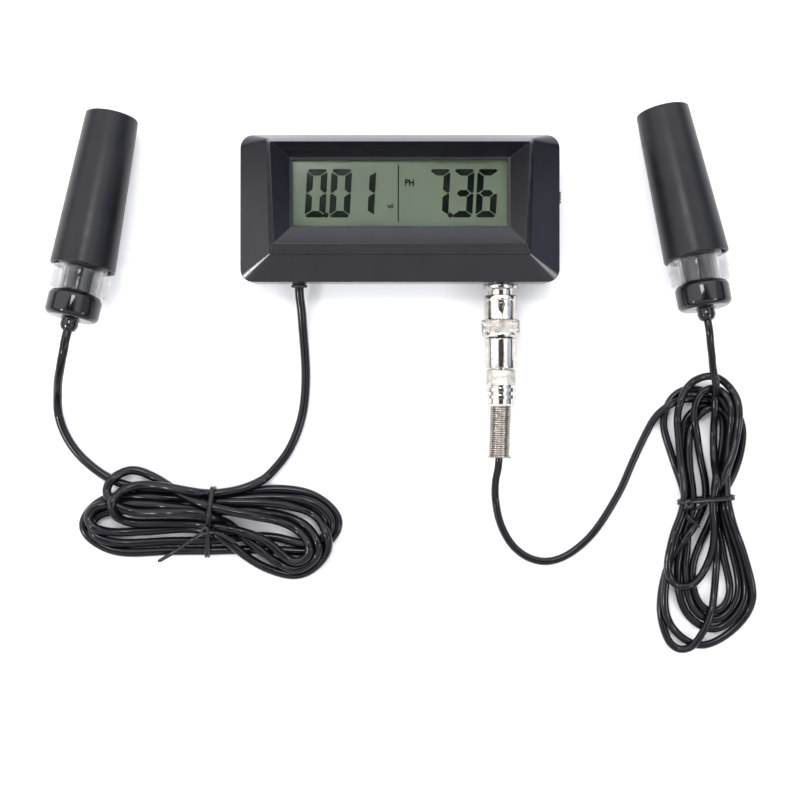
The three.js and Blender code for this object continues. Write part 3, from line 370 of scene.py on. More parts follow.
def moved(shape, matrix):
    return [tuple(matrix @ Vector(v)) for v in shape[0]], shape[1]


def swept(path, section):
    """Sweeps a closed 2-D section along 3-D points with frames that don't twist."""
    pts = [Vector(p) for p in path]
    last = len(pts) - 1
    tangents = [(pts[min(i + 1, last)] - pts[max(i - 1, 0)]).normalized() for i in range(last + 1)]
    up = Vector((0, 0, 1)) if abs(tangents[0].z) < 0.9 else Vector((1, 0, 0))
    side = tangents[0].cross(up).normalized()
    verts = []
    for i, p in enumerate(pts):
        if i:
            side = tangents[i - 1].rotation_difference(tangents[i]) @ side
        up = side.cross(tangents[i]).normalized()
        verts += [tuple(p + side * x + up * y) for x, y in section]
    return verts, tube_faces(len(pts), len(section))


def spline(points, step, closed_path=False):
    """Centripetal Catmull-Rom points through a short list, about one step apart."""
    pts = [np.array(p, float) for p in points]
    if closed_path:
        pts = [pts[-1], *pts, pts[0], pts[1]]
    else:
        pts = [2 * pts[0] - pts[1], *pts, 2 * pts[-1] - pts[-2]]
    out = []
    for p0, p1, p2, p3 in zip(pts, pts[1:], pts[2:], pts[3:]):
        t1 = max(np.linalg.norm(p1 - p0), 1e-6) ** 0.5
        t2 = t1 + max(np.linalg.norm(p2 - p1), 1e-6) ** 0.5
        t3 = t2 + max(np.linalg.norm(p3 - p2), 1e-6) ** 0.5
        count = max(1, round(float(np.linalg.norm(p2 - p1)) / step))
        for k in range(count):
            t = t1 + (t2 - t1) * k / count
            a1 = (t1 - t) / t1 * p0 + t / t1 * p1
            a2 = (t2 - t) / (t2 - t1) * p1 + (t - t1) / (t2 - t1) * p2
            a3 = (t3 - t) / (t3 - t2) * p2 + (t - t2) / (t3 - t2) * p3
            b1 = (t2 - t) / t2 * a1 + t / t2 * a2
            b2 = (t3 - t) / (t3 - t1) * a2 + (t - t1) / (t3 - t1) * a3
            out.append((t2 - t) / (t2 - t1) * b1 + (t - t1) / (t2 - t1) * b2)
    return out if closed_path else [*out, pts[-2]]


# ---------------------------------------------------------------- housing


def corner_ring(four, radius, height_at, steps=10):
    """Points round four corners, each an arc, at the height that the rule gives for their y."""
    ring = []
    for i, corner in enumerate(four):
        here = Vector(corner)
        before = (Vector(four[i - 1]) - here).normalized()
        after = (Vector(four[(i + 1) % 4]) - here).normalized()
        half = before.angle(after) / 2
        centre = here + (before + after).normalized() * (radius / math.sin(half))
        start = here + before * (radius / math.tan(half)) - centre
        sweep = math.pi - 2 * half
        for k in range(steps + 1):
            p = Matrix.Rotation(sweep * k / steps, 2) @ start + centre
            ring.append((p.x, p.y, height_at(p.y)))
    return ring


def trapezium(low, high, half_low, half_high):
    return [(-half_low, low), (half_low, low), (half_high, high), (-half_high, high)]


def rectangle(half_x, half_y):
    return trapezium(-half_y, half_y, half_x, half_x)


def loft(rings):
    """One closed skin through rings of equally many points, the last ring joined to the first."""
    n, m = len(rings), len(rings[0])
    faces = []
    for r in range(n):
        for k in range(m):
            a, b = r * m + k, r * m + (k + 1) % m
            c, d = (r + 1) % n * m + (k + 1) % m, (r + 1) % n * m + k
            faces.append([a, b, c, d])
    return [p for ring in rings for p in ring], faces


def sloping(edge, drop=0.0):
    rise = (edge["z_high"] - edge["z_low"]) / (edge["high"] - edge["low"])
    return lambda y: edge["z_low"] + rise * (y - edge["low"]) - drop


def level(z):
    return lambda y: z


def window_ring(margin, z):
    half = WINDOW["half_x"] + margin
    four = trapezium(WINDOW["low"] - margin, WINDOW["high"] + margin, half, half)
    return corner_ring(four, 0.4 + margin / 4, level(z))


def frame_ring(edge, inset, radius, drop):
    low, high = edge["low"] + inset, edge["high"] - inset
    four = trapezium(low, high, edge["half_low"] - inset, edge["half_high"] - inset)
    return corner_ring(four, radius, sloping(edge, drop))


def softened(made, width, angle):
    """Rounds every edge that turns by more than the angle, in degrees."""
    bevel = made.modifiers.new("soft_edges", "BEVEL")
    bevel.width = width * MM
    bevel.segments = 3
    bevel.limit_method = "ANGLE"
    bevel.angle_limit = math.radians(angle)
    bevel.harden_normals = True


def make_bezel():
    outline = rectangle(CASE_HALF_X, CASE_HALF_Y)
    inner = rectangle(CASE_HALF_X - CASE_WALL, CASE_HALF_Y - CASE_WALL)
    pocket = LENS_MARGIN + GAP
    rib = pocket + 1.4
    shell = loft(
        [
            corner_ring(outline, CASE_CORNER, level(SEAM_Z + GAP)),
            corner_ring(outline, CASE_CORNER, level(SKIRT_Z)),
            frame_ring(FRAME_FOOT, 0, 0.8, 0),
            frame_ring(FRAME_RIDGE, 0, 0.6, 0),
            window_ring(1.0, WINDOW_Z + 0.5),
            window_ring(0, WINDOW_Z),
            window_ring(0, WINDOW_Z - LIP),
            window_ring(pocket, WINDOW_Z - LIP),
            window_ring(pocket, POCKET_FOOT_Z),
            window_ring(rib, POCKET_FOOT_Z),
            frame_ring(FRAME_RIDGE, 2.1, 0.6, SHELL_DROP + 0.4),
            frame_ring(FRAME_FOOT, 1.8, 0.8, SHELL_DROP - 0.4),
            corner_ring(inner, CASE_CORNER - CASE_WALL, level(SKIRT_Z - 0.6)),
            corner_ring(inner, CASE_CORNER - CASE_WALL, level(SEAM_Z + GAP)),
        ]
    )
    made = piece("bezel_shell", shell, CASE, "meter", ["front_bezel"], crease=28)
    softened(made, 0.28, 14)


def dress_cad():
    """Every CAD node that stays in sight or inside gets its own material and soft edges."""
    looks = {
        COVER: ["rear_cover", "battery_door"],
        SWITCH_BLACK: ["switch_knob"],
        LENS: ["lcd_lens"],
        LCD_CELL: ["lcd_panel"],
        REFLECTOR: ["lcd_reflector"],
        ZEBRA: ["zebra_strip_lower", "zebra_strip_upper"],
        BOARD: ["main_board"],
        RESIN: ["driver_chip"],
        STEEL: ["switch_body", "ec_electrode_pin_left", "ec_electrode_pin_right", "board_screw_left",
                "board_screw_right"],
        TRIMMER_BLUE: ["trimmer_body_ec", "trimmer_body_ph"],
        BRASS: ["trimmer_rotor_ec", "trimmer_rotor_ph", "bnc_jack_contact", "bnc_plug_pin"],
        CELL_WRAP: ["battery_lower", "battery_upper"],
        NICKEL: ["battery_bridge", "battery_contact_positive", "battery_contact_negative", "bnc_jack_nut"],
        DIELECTRIC: ["bnc_jack_insulator", "bnc_plug_insulator"],
        RUBBER: ["bnc_plug_gasket"],
        GLASS: ["ph_glass_electrode"],
    }
    for name in frame["nodes"]:
        if name.startswith("case_screw"):
            looks[STEEL].append(name)
    for mat, names in looks.items():
        for name in names:
            node = frame["nodes"][name]
            node.data.materials.clear()
            node.data.materials.append(mat)
            for polygon in node.data.polygons:
                polygon.use_smooth = True
            node.data.set_sharp_from_angle(angle=math.radians(31))
    for name, width in (("rear_cover", 0.2), ("battery_door", 0.15), ("switch_knob", 0.18)):
        softened(frame["nodes"][name], width, 32)


# ---------------------------------------------------------------- display figures

# Which of a digit's seven bars are lit: a top, b and c right, d bottom, e and f left, g middle.
BARS = {"0": "abcdef", "1": "bc", "3": "abcdg", "6": "acdefg", "7": "abc"}
DIGIT = dict(wide=7.6, high=17.8, stroke=2.4, gap=0.2, foot=-3.6, slant=math.tan(math.radians(3.2)))
# The figures shown, each with the x of its right edge, and the decimal points between them.
FIGURES = (("0", -26.9), ("0", -17.9), ("1", -9.0), ("7", 18.3), ("3", 27.2), ("6", 35.9))
OVERHANG, INK_LOW, INK_HIGH, INK_CORNER, UNIT_SQUEEZE = 0.35, 0.01, 0.06, 0.22, 0.86
POINTS_X, POINTS_Y, POINT_RADIUS = (-27.2, 18.5), -2.75, 0.95
DIVIDER = [(-0.85, -5.2), (-0.4, -5.2), (-0.4, 15.8), (-0.85, 15.8)]
# Name, lettering, size, x and y, and how much bolder than the plain font, which is in metres.
UNITS = (("lcd_unit_right", "PH", 3.3, 1.75, 8.1, 0.00011), ("lcd_unit_left", "mS", 2.0, -4.6, -0.05, 0.00007))


def bar_outline(bar):
    """A mitred bar of the figure eight, as points from the digit's lower left corner."""
    w, h, t, g = DIGIT["wide"], DIGIT["high"], DIGIT["stroke"], DIGIT["gap"]
    mid, half, nip = h / 2, t / 2, 0.85
    top = [(nip, h), (w - nip, h), (w - g, h - nip + g), (w - t - g, h - t), (t + g, h - t), (g, h - nip + g)]
    upper_left = [(0, h - nip - g), (0, mid + g), (half * 0.7, mid + g), (t, mid + half + g), (t, h - t - g),
                  (t * 0.9, h - t)]
    middle = [(half + g, mid), (t + g, mid + half), (w - t - g, mid + half), (w - half - g, mid),
              (w - t - g, mid - half), (t + g, mid - half)]
    flip_x = lambda pts: [(w - x, y) for x, y in pts]
    flip_y = lambda pts: [(x, h - y) for x, y in pts]
    return {"a": top, "f": upper_left, "b": flip_x(upper_left), "e": flip_y(upper_left),
            "c": flip_x(flip_y(upper_left)), "d": flip_y(top), "g": middle}[bar]


def slab(outline, low, high):
    n = len(outline)
    verts = [(x, y, low) for x, y in outline] + [(x, y, high) for x, y in outline]
    sides = [[k, (k + 1) % n, n + (k + 1) % n, n + k] for k in range(n)]
    return verts, [list(range(n))[::-1], list(range(n, 2 * n)), *sides]


def leaned(outline, left):
    return [(left + x + DIGIT["slant"] * y, DIGIT["foot"] + y) for x, y in outline]


def make_figures():
    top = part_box("lcd_panel")[1].z / MM
    low, high = top + INK_LOW, top + INK_HIGH
    shapes = []
    for figure, right in FIGURES:
        left = right - DIGIT["wide"] - DIGIT["slant"] * DIGIT["high"] + OVERHANG
        for bar in BARS[figure]:
            shapes.append(slab(filleted(leaned(bar_outline(bar), left), INK_CORNER, 3, True), low, high))
    for x in POINTS_X:
        shapes.append(slab(circle(POINT_RADIUS, 20, x, POINTS_Y), low, high))
    shapes.append(slab(DIVIDER, low, high))
    piece("lcd_figures", merged(*shapes), LCD_INK, "meter", smooth=False)
    for name, text, size, x, y, bold in UNITS:
        font = bpy.data.curves.new(name, "FONT")
        font.body, font.size, font.offset, font.extrude = text, size * MM, bold, 0.00003
        font.materials.append(LCD_INK)
        label = linked(name, font)
        label.location = (x * MM, y * MM, (high - 0.03) * MM)
        label.scale.x = UNIT_SQUEEZE
        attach(label, "meter")


# ---------------------------------------------------------------- connector
# Outlines are [radius, distance out from the case's lower face].
OUT_OF_BOTTOM = along_axis((JACK_X, -CASE_HALF_Y, JACK_Z), (0, -1, 0))
LUG_OUT, KNURL_SEGMENTS = 8.0, 264


def knurled(before, radius, low, high, after, rows, depth, across, pitch):
    """A turned part whose outline has a band of crossed grooves between two heights."""

    def sink(a, h):
        if not low - 1e-6 <= h <= high + 1e-6:
            return 0.0
        u, v = a / (2 * math.pi) * across, (h - low) / pitch
        ridge = lambda t: 1 - abs(2 * (t % 1.0) - 1)
        return -depth * max(1 - 1.6 * ridge(u + v), 1 - 1.6 * ridge(u - v), 0)

    grid = [(radius, low + (high - low) * k / rows) for k in range(rows + 1)]
    return lathe([*before, *grid, *after], KNURL_SEGMENTS, sink, looped=True)


def crosswise(profile):
    """Two copies of a turned shape, lying out to either side at the lugs."""
    shape, out = lathe(profile, 28), Matrix.Translation((0, 0, LUG_OUT))
    return [moved(shape, out @ Matrix.Rotation(side * math.pi / 2, 4, "X")) for side in (-1, 1)]


def make_connector():
    jack = filleted(
        [(2.7, -6), (4.6, -6), (4.6, 0.3), (6.55, 0.3), (6.55, 1.9), (5.1, 1.9), (4.8, 2.4), (4.8, 11.4),
         (4.15, 11.4), (4.15, 2.6), (2.7, 2.6)], 0.22, 3, True)
    lugs = crosswise(filleted([(0, 4.4), (0.95, 4.4), (0.95, 5.25), (0, 5.25)], 0.2, 3))
    piece("jack_shell", merged(lathe(jack, looped=True), *lugs), NICKEL, "meter", ["bnc_jack_shell"],
          OUT_OF_BOTTOM)

    before = [(5.55, 4.3), (6.2, 4.5), (6.35, 4.7), (6.35, 6.1), (6.05, 6.4), (6.05, 12.9), (6.2, 13.3),
              (7.0, 13.6)]
    after = [(6.9, 18.5), (7.1, 18.8), (7.1, 19.4), (6.5, 20), (4.7, 20), (4.7, 13.6), (5.55, 13.0)]
    nut = knurled(before, 7.25, 13.9, 18.3, after, rows=22, depth=0.42, across=36, pitch=1.3)
    sleeve = piece("coupling_sleeve", nut, NICKEL, "bnc_coupling", ["bnc_coupling_nut"],
                   OUT_OF_BOTTOM, crease=40)
    carve_seats(sleeve)

    body = filleted([(2.9, 3.2), (3.85, 3.2), (3.85, 12.3), (4.4, 12.3), (4.4, 20.3), (5.6, 20.3), (6.0, 20.8),
                     (6.0, 31.8), (3.9, 31.8), (3.9, 24), (2.9, 24)], 0.3, 3, True)
    piece("plug_barrel", lathe(body, looped=True), NICKEL, "ph_lead", ["bnc_plug_body"],
          OUT_OF_BOTTOM)

    after = [(5.75, 38.0), (4.85, 38.2), (4.85, 39.0), (5.75, 39.2), (5.75, 40.5), (4.85, 40.7), (4.85, 41.7),
             (5.75, 41.9), (5.75, 43.1), (4.8, 43.3), (4.8, 45.1), (4.6, 45.3), (2.2, 45.3), (2.2, 26),
             (3.6, 26), (3.6, 32.1), (5.3, 32.1)]
    clamp = knurled([], 5.7, 32.5, 37.6, after, rows=24, depth=0.24, across=34, pitch=1.1)
    piece("clamp_collar", clamp, NICKEL, "ph_lead", ["bnc_cable_clamp"], OUT_OF_BOTTOM, crease=40)


def make_spring():
    """The strain relief: a close coil that leans with the cable and opens a little at its free end."""
    wire, turns, per_turn, flare, flare_from = 0.36, 28, 28, 0.5, 0.93
    path = []
    for k in range(turns * per_turn + 1):
        t, a = k / (turns * per_turn), 2 * math.pi * k / per_turn
        h = SPRING_START + wire + (SPRING_END - SPRING_START - 2 * wire) * t
        r = SPRING_RADIUS - wire + flare * max(0.0, (t - flare_from) / (1 - flare_from))
        lean = Vector((SPRING_DRIFT * t, 0, 0))
        path.append(OUT_OF_BOTTOM @ Vector((r * math.cos(a), r * math.sin(a), h)) + lean)
    piece("strain_spring", swept(path, circle(wire, 8)), SPRING_STEEL, "ph_lead", ["strain_relief_spring"],
          crease=60)


def carve_seats(sleeve):
    """The two round seats in the coupling sleeve, which the jack's lugs lock into."""
    seats = crosswise([(0, 4.5), (1.25, 4.5), (1.25, 7.5), (0, 7.5)])
    cutter = linked("seat_cutter", mesh_of("seat_cutter", merged(*seats), OUT_OF_BOTTOM))
    cut = sleeve.modifiers.new("seats", "BOOLEAN")
    cut.operation, cut.object, cut.solver = "DIFFERENCE", cutter, "EXACT"
    bpy.context.view_layer.update()
    evaluated = sleeve.evaluated_get(bpy.context.evaluated_depsgraph_get())
    carved = bpy.data.meshes.new_from_object(evaluated)
    sleeve.modifiers.clear()
    sleeve.data = carved
    bpy.data.objects.remove(cutter, do_unlink=True)


# ---------------------------------------------------------------- probes
BOSS = [(2.7, 7.0), (4.3, 7.0), (4.3, 10.6), (2.7, 10.6)]
CUP = [(0, 2.4), (5, 2.1), (10, 1.3), (14.6, 0.3), (15.4, 0.0), (16.8, 0.0), (16.8, 0.5), (12.5, 2.1),
       (8, 3.5), (4.2, 4.4), (3.4, 5.9), (2.4, 6.0), (2.4, 9.2), (0, 9.2)]


def make_probe(prefix, lead, sleeve_body, clip_body, cord_d, mouth, tip, tail, cup):
    long = (tip - mouth).length
    in_sleeve, in_body = along_axis(mouth, tip - mouth), along_axis(mouth, mouth - tail)
    bore_mouth, bore_tip, bore_end = SLEEVE_MOUTH - SLEEVE_WALL, SLEEVE_TIP - SLEEVE_WALL, long - SLEEVE_END
    sheath = filleted([(0, long), (SLEEVE_TIP, long), (SLEEVE_MOUTH, 0.0), (bore_mouth, 0.0),
                       (bore_tip, bore_end), (0, bore_end)], 0.9, 6)
    piece(prefix + "_sheath", lathe(sheath, 128), SLEEVE, sleeve_body, [prefix + "_sleeve"],
          in_sleeve)

    seat_high, stem_end, play = 7, long - 22, 0.75
    seat = bore_mouth + (bore_tip - bore_mouth) * seat_high / bore_end - play
    core = filleted([(0, -14.1), (4.2, -14.1), (4.2, -9.3), (7.0, -9.3), (7.0, -0.4), (8.8, 0.0), (seat, 0.9),
                     (seat, seat_high), (6.0, 8.5), (6.0, stem_end), (4.2, stem_end), (4.2, stem_end - 5),
                     (0, stem_end - 5)], 0.5, 4)
    piece(prefix + "_probe_core", lathe(core), PROBE_BLACK, lead, [prefix + "_probe_body"],
          in_body)

    cap_end, socket = -CAP_START - CAP_LONG, -CAP_START - 4.8
    cap = filleted([(4.5, -CAP_START), (10.0, -CAP_START), (10.0, cap_end), (3.1, cap_end),
                    (3.35, cap_end - 2.6), (2.6, cap_end - 4.2), (cord_d / 2 + 0.15, cap_end - NUB_LONG)],
                   2.3, 8)
    cap = [(0, socket), (4.5, socket), *cap, (0, cap_end - NUB_LONG)]
    piece(prefix + "_gloss_cap", lathe(cap, 112), GLOSS, lead, [prefix + "_probe_cap"], in_body)

    foot = -CLIP_START - CLIP_LONG
    band = filleted([(7.3, foot), (10.75, foot), (10.75, foot + 4.2), (11.1, foot + 4.5), (11.1, -CLIP_START),
                     (7.3, -CLIP_START)], 0.25, 3, True)
    piece(prefix + "_clip_band", split_ring(band, CLIP_SLIT), CLEAR_RING, clip_body, [prefix + "_clip_ring"],
          in_body)
    on_table = Matrix.Translation(cup)
    boss, dish = lathe(filleted(BOSS, 0.3, 3, True), 48, looped=True), lathe(filleted(CUP, 0.4, 3), 112)
    piece(prefix + "_clip_boss", moved(boss, on_table), CLEAR_RING, clip_body)
    piece(prefix + "_vacuum_cup", moved(dish, on_table), CLEAR_CUP, clip_body, [prefix + "_suction_cup"],
          crease=60)


def make_gland():
    bore = EC_CORD_D / 2 + 0.05
    ring = filleted([(bore, -4), (3.3, -4), (3.3, -3), (2.5, -3), (2.5, 0.3), (3.1, 0.3), (3.0, 1.2),
                     (bore, 1.2)], 0.25, 3, True)
    piece("cord_grommet", lathe(ring, 64, looped=True), RUBBER, "meter", ["ec_cord_gland"],
          along_axis((GLAND_X, -CASE_HALF_Y, GLAND_Z), (0, -1, 0)))


# ---------------------------------------------------------------- cords
EC_FROM_METER = [
    (-38.0, -28.7, 5.9), (-37.9, -31.5, 5.2), (-37.3, -36.7, 3.9), (-36.8, -44.2, 2.5), (-36.2, -51.8, 1.9),
    (-35.7, -60.2, 1.8), (-35.9, -67.8, 1.8), (-36.6, -74.6, 1.8), (-38.0, -80.3, 1.8), (-40.1, -86.0, 1.8),
    (-42.3, -90.4, 1.8), (-44.8, -94.0, 1.8), (-48.6, -98.1, 1.8), (-53.2, -101.9, 1.8), (-58.4, -104.3, 1.8),
    (-64.5, -105.6, 1.8),
]
EC_TO_PROBE = [
    (-87.0, -105.6, 1.8), (-98.5, -104.4, 1.8), (-104.5, -103.2, 1.8), (-109.5, -101.2, 1.8),
    (-113.5, -98.9, 1.8), (-117.0, -96.2, 1.8), (-121.9, -91.9, 1.8), (-124.6, -88.5, 1.8),
    (-127.0, -84.5, 1.8), (-128.9, -79.9, 1.8), (-129.6, -74.6, 3.2), (-128.9, -68.9, 7.0),
    (-127.5, -63.3, 12.4), (-126.2, -59.7, 15.8), (-125.0, -56.1, 18.6), (-123.9, -52.5, 20.3),
]
PH_FROM_PLUG = [
    (36.9, -96.5, 7.4), (36.2, -100.6, 5.4), (36.0, -105.0, 3.4), (36.3, -109.5, 2.0), (37.2, -115.6, 1.5),
    (38.6, -119.4, 1.5), (41.4, -124.8, 1.5), (44.8, -128.6, 1.5), (49.4, -131.4, 1.5), (55.1, -132.6, 1.5),
    (60.8, -131.4, 1.5), (66.5, -128.0, 1.5), (72.2, -122.9, 1.5), (76.4, -117.4, 1.5), (79.4, -112.6, 1.5),
    (84.6, -103.5, 1.5), (87.0, -97.4, 1.5), (89.3, -92.1, 1.5), (92.2, -86.0, 1.5), (94.6, -81.1, 1.5),
]
PH_TO_PROBE = [(117.6, -62.5, 10.6), (116.4, -58.5, 13.9), (115.7, -55.2, 16.3), (114.6, -50.5, 19.2)]


def make_cord(name, points, diameter, body, nodes):
    curve = bpy.data.curves.new(name, "CURVE")
    curve.dimensions = "3D"
    line = curve.splines.new("POLY")
    line.points.add(len(points) - 1)
    for spot, p in zip(line.points, points):
        spot.co = (*(Vector(p) * MM), 1.0)
    curve.bevel_depth = diameter / 2 * MM
    curve.bevel_resolution = 6
    curve.use_fill_caps = True
    curve.materials.append(CORD)
    made = linked(name, curve)
    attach(made, body)
    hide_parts(*nodes)
    return made


# Each bend of a hank, in the order that the cord runs: five points round it, the slot where the cord
# crosses the tie afterwards, and how high the bend lies on its way in and on its way out.
# A bend's height is its rank in the stack of strands. The leads' points keep their own height.
EC_TIE_X, EC_FIRST_SLOT, EC_LAST_RANK = -72.0, -106.4, 12
EC_BENDS = [
    ([(-91.4, -103.0), (-103.0, -103.6), (-110.4, -110.1), (-105.2, -116.8), (-88.1, -117.4)], -117.8, 11, 11),
    ([(-51.0, -123.5), (-39.3, -133.3), (-31.3, -127.2), (-41.7, -117.9), (-56.0, -113.8)], -110.8, 10, 10),
    ([(-83.4, -105.9), (-92.9, -100.2), (-103.0, -96.8), (-112.8, -104.9), (-104.5, -112.4)], -113.4, 9, 9),
    ([(-53.0, -127.5), (-39.3, -135.8), (-29.6, -127.7), (-34.5, -119.0), (-50.0, -113.2)], -112.2, 8, 8),
    ([(-100.0, -109.9), (-114.6, -110.3), (-122.6, -115.6), (-111.8, -120.9), (-97.6, -120.6)], -120.4, 7, 7),
    ([(-51.2, -134.6), (-37.0, -137.0), (-26.6, -126.7), (-30.5, -115.4), (-42.0, -110.6)], -109.4, 6, 6),
    ([(-100.0, -112.6), (-113.0, -113.3), (-120.9, -119.2), (-110.4, -124.8), (-88.1, -124.4)], -124.0, 5, 5),
    ([(-50.0, -122.4), (-32.0, -125.6), (-24.6, -117.6), (-32.2, -109.4), (-46.0, -107.6)], -108.4, 4, 4),
    ([(-101.0, -107.4), (-114.6, -109.4), (-121.3, -118.6), (-109.4, -128.0), (-88.1, -128.1)], -127.9, 3, 3),
    ([(-50.0, -127.6), (-31.0, -127.4), (-22.7, -116.8), (-32.5, -107.0), (-46.0, -105.0)], -107.4, 2, 2),
]
PH_TIE_Y = -109.0
# The pH cable first goes round the whole hank, with a rank for each point, and at the end up over it.
PH_OVER_HANK = [
    (97.9, -75.6, 6), (102.6, -71.8, 6), (107.4, -70.1, 6), (112.1, -70.4, 5), (117.3, -70.8, 3),
    (123.0, -71.8, 1), (127.7, -74.6, 1), (130.3, -79.8, 1), (130.5, -85.0, 1), (129.1, -92.6, 1),
    (126.3, -100.1, 1), (121.8, -106.8, 1), (120.0, -112.6, 1),
]
PH_UP_HANK = [(118.8, -104.0, 14), (118.9, -94.5, 14), (119.1, -85.0, 14), (118.8, -75.6, 14),
              (118.6, -66.5, 14)]
PH_BENDS = [
    ([(110.9, -134.0), (113.0, -148.2), (120.0, -153.5), (125.6, -145.5), (122.6, -129.0)], 119.6, 1, 2),
    ([(123.4, -86.0), (123.0, -75.8), (115.4, -71.8), (107.6, -79.0), (107.6, -92.0)], 109.5, 2, 2.5),
    ([(108.2, -137.0), (111.5, -150.8), (119.5, -155.4), (129.0, -146.0), (127.0, -129.5)], 120.7, 3, 3),
    ([(125.4, -86.0), (124.4, -74.6), (116.3, -73.2), (109.9, -82.0), (109.3, -95.0)], 110.8, 3.5, 3.5),
    ([(105.2, -135.0), (108.6, -152.2), (119.5, -158.6), (130.8, -147.5), (128.4, -128.8)], 121.3, 4, 4),
    ([(126.7, -80.0), (118.2, -68.0), (106.5, -66.8), (99.7, -77.5), (104.0, -94.0)], 108.2, 4.5, 3),
    ([(101.6, -132.5), (101.0, -154.0), (114.0, -164.6), (133.0, -150.5), (129.6, -129.0)], 122.3, 7, 5.5),
    ([(124.8, -84.0), (124.3, -70.0), (116.8, -63.5), (111.0, -73.5), (113.4, -89.5)], 116.0, 6, 8),
    ([(102.6, -131.0), (99.0, -153.0), (105.9, -168.6), (116.6, -155.0), (120.3, -131.0)], 118.9, 5, 10),
    ([(126.8, -83.0), (125.4, -66.8), (114.8, -60.9), (105.6, -70.5), (105.8, -88.0)], 107.2, 10, 4.5),
    ([(102.0, -125.0), (100.6, -137.0), (106.5, -143.7), (115.4, -136.2), (118.8, -123.0)], 117.2, 12, 12),
]
RANK_STEP = 1.3


def fixed(points):
    """Rows of x, y, starting height and lowest height, for points that keep their height."""
    return [(x, y, z, z) for x, y, z in points]


def ranked(points, diameter):
    """The same rows for points that start at their rank in the stack and may sink to the table."""
    return [(x, y, diameter / 2 + RANK_STEP * rank, diameter / 2) for x, y, rank in points]


def through_bends(bends, tie_point, diameter):
    """Rows round each bend and on to its crossing of the tie, the rank changing evenly on the way."""
    route = []
    for points, slot, rank_in, rank_out in bends:
        around = [*points, tie_point(slot)]
        for k, (x, y) in enumerate(around):
            route.append((x, y, rank_in + (rank_out - rank_in) * k / (len(around) - 1)))
    return ranked(route, diameter)


def into_nub(probe, before):
    """A cable's last two points: one on the nub's axis, and its end inside the nub."""
    way = (probe["tail"] - probe["mouth"]).normalized()
    end = probe["mouth"] + way * CORD_SEAT
    return [tuple(end + way * before), tuple(end)]


def eased(p, least, rounds=120):
    """Opens out every bend that is tighter than the cord can take, and the stretch about it a little."""
    gain, pull, window = 1.6, 0.25, np.ones(9) / 4
    p = p.copy()
    for _ in range(rounds):
        curl = p[:-2] - 2 * p[1:-1] + p[2:]
        step = np.linalg.norm(p[2:] - p[:-2], axis=1) / 2
        radius = step**2 / np.maximum(np.linalg.norm(curl, axis=1), 1e-9)
        tight = np.convolve(np.clip(gain * (least / radius - 1), 0, 1), window, "same")
        p[1:-1] += pull * np.clip(tight, 0, 1)[:, None] * curl
    return p


def settle(route, diameter, least, tie_lift, rounds=110, step=1.25):
    """Lets a cord sink on to the table and on to itself. Where two stretches cross, the one that starts
    higher stays on top, and both give way until they are a diameter apart."""
    sink, last_rounds, haste, sideways, homing, smoothing = 0.25, 25, 1.6, 0.05, 0.06, 0.3
    p = np.array(spline(route, step))
    floor = p[:, 3] + tie_lift(p)
    p = p[:, :3].copy()
    pinned = (np.abs(p[:, 2] - floor) < 1e-6) & (floor > diameter / 2 + 0.6)
    p = np.where(pinned[:, None], p, eased(p, least))
    home, n = p.copy(), len(p)
    for turn in range(rounds):
        if turn % 10 == 0:
            gap = np.linalg.norm(p[:, None, :2] - p[None, :, :2], axis=2)
            along = np.abs(np.arange(n)[:, None] - np.arange(n)[None, :]) * step
            i_all, j_all = np.nonzero(np.triu((gap < 1.25 * diameter) & (along > 2.2 * diameter)))
            upper_all = np.where(home[i_all, 2] >= home[j_all, 2], 1.0, -1.0)
        if turn < rounds - last_rounds:
            p[:, 2] -= sink
        d = p[i_all] - p[j_all]
        flat = np.linalg.norm(d[:, :2], axis=1)
        short = np.sqrt(np.maximum(diameter**2 - flat**2, 0.0)) - upper_all * d[:, 2]
        hit = (short > 0) & (flat < diameter)
        i, j, short, upper, flat, d = i_all[hit], j_all[hit], short[hit], upper_all[hit], flat[hit], d[hit]
        push = np.minimum(short, 0.8 * diameter) * 0.5
        aside = d[:, :2] / np.maximum(flat, 1e-6)[:, None] * (sideways * np.minimum(short, 1.0))[:, None]
        move, count = np.zeros_like(p), np.zeros(n)
        for k, sign in ((i, 1.0), (j, -1.0)):
            np.add.at(move, k, np.column_stack([sign * aside, sign * upper * push]))
            np.add.at(count, k, 1.0)
        p += move / np.maximum(count, 1.0)[:, None] * haste
        p[:, :2] += (home[:, :2] - p[:, :2]) * homing
        p[1:-1] = (1 - 2 * smoothing) * p[1:-1] + smoothing * (p[2:] + p[:-2])
        p[:, 2] = np.maximum(p[:, 2], floor)
        p[pinned] = home[pinned]
    p = eased(p, 0.9 * least, 50)
    p[:, 2] = np.maximum(p[:, 2], diameter / 2)
    return p


def ridged_ribbon():
    """Section of a twist tie: a flat plastic ribbon with a raised wire core along each edge."""
    half, thin, core = TIE_WIDE / 2, 0.28, TIE_THICK / 2
    top = [(half * math.cos(a), core * math.sin(a)) for a in (0.0, 0.5)]
    ridge = [(half * 0.62, core), (half * 0.36, thin), (0.0, thin * 0.8)]
    quarter = [*top, *ridge]
    upper = quarter + [(-x, y) for x, y in reversed(quarter[:-1])]
    return upper + [(x, -y) for x, y in reversed(upper[1:-1])]


def hull(points):
    points = sorted(map(tuple, points))

    def half(seq):
        out = []
        for p in seq:
            while len(out) > 1:
                (ax, ay), (bx, by) = out[-2:]
                if (bx - ax) * (p[1] - ay) > (by - ay) * (p[0] - ax):
                    break
                out.pop()
            out.append(p)
        return out[:-1]

    return half(points) + half(points[::-1])


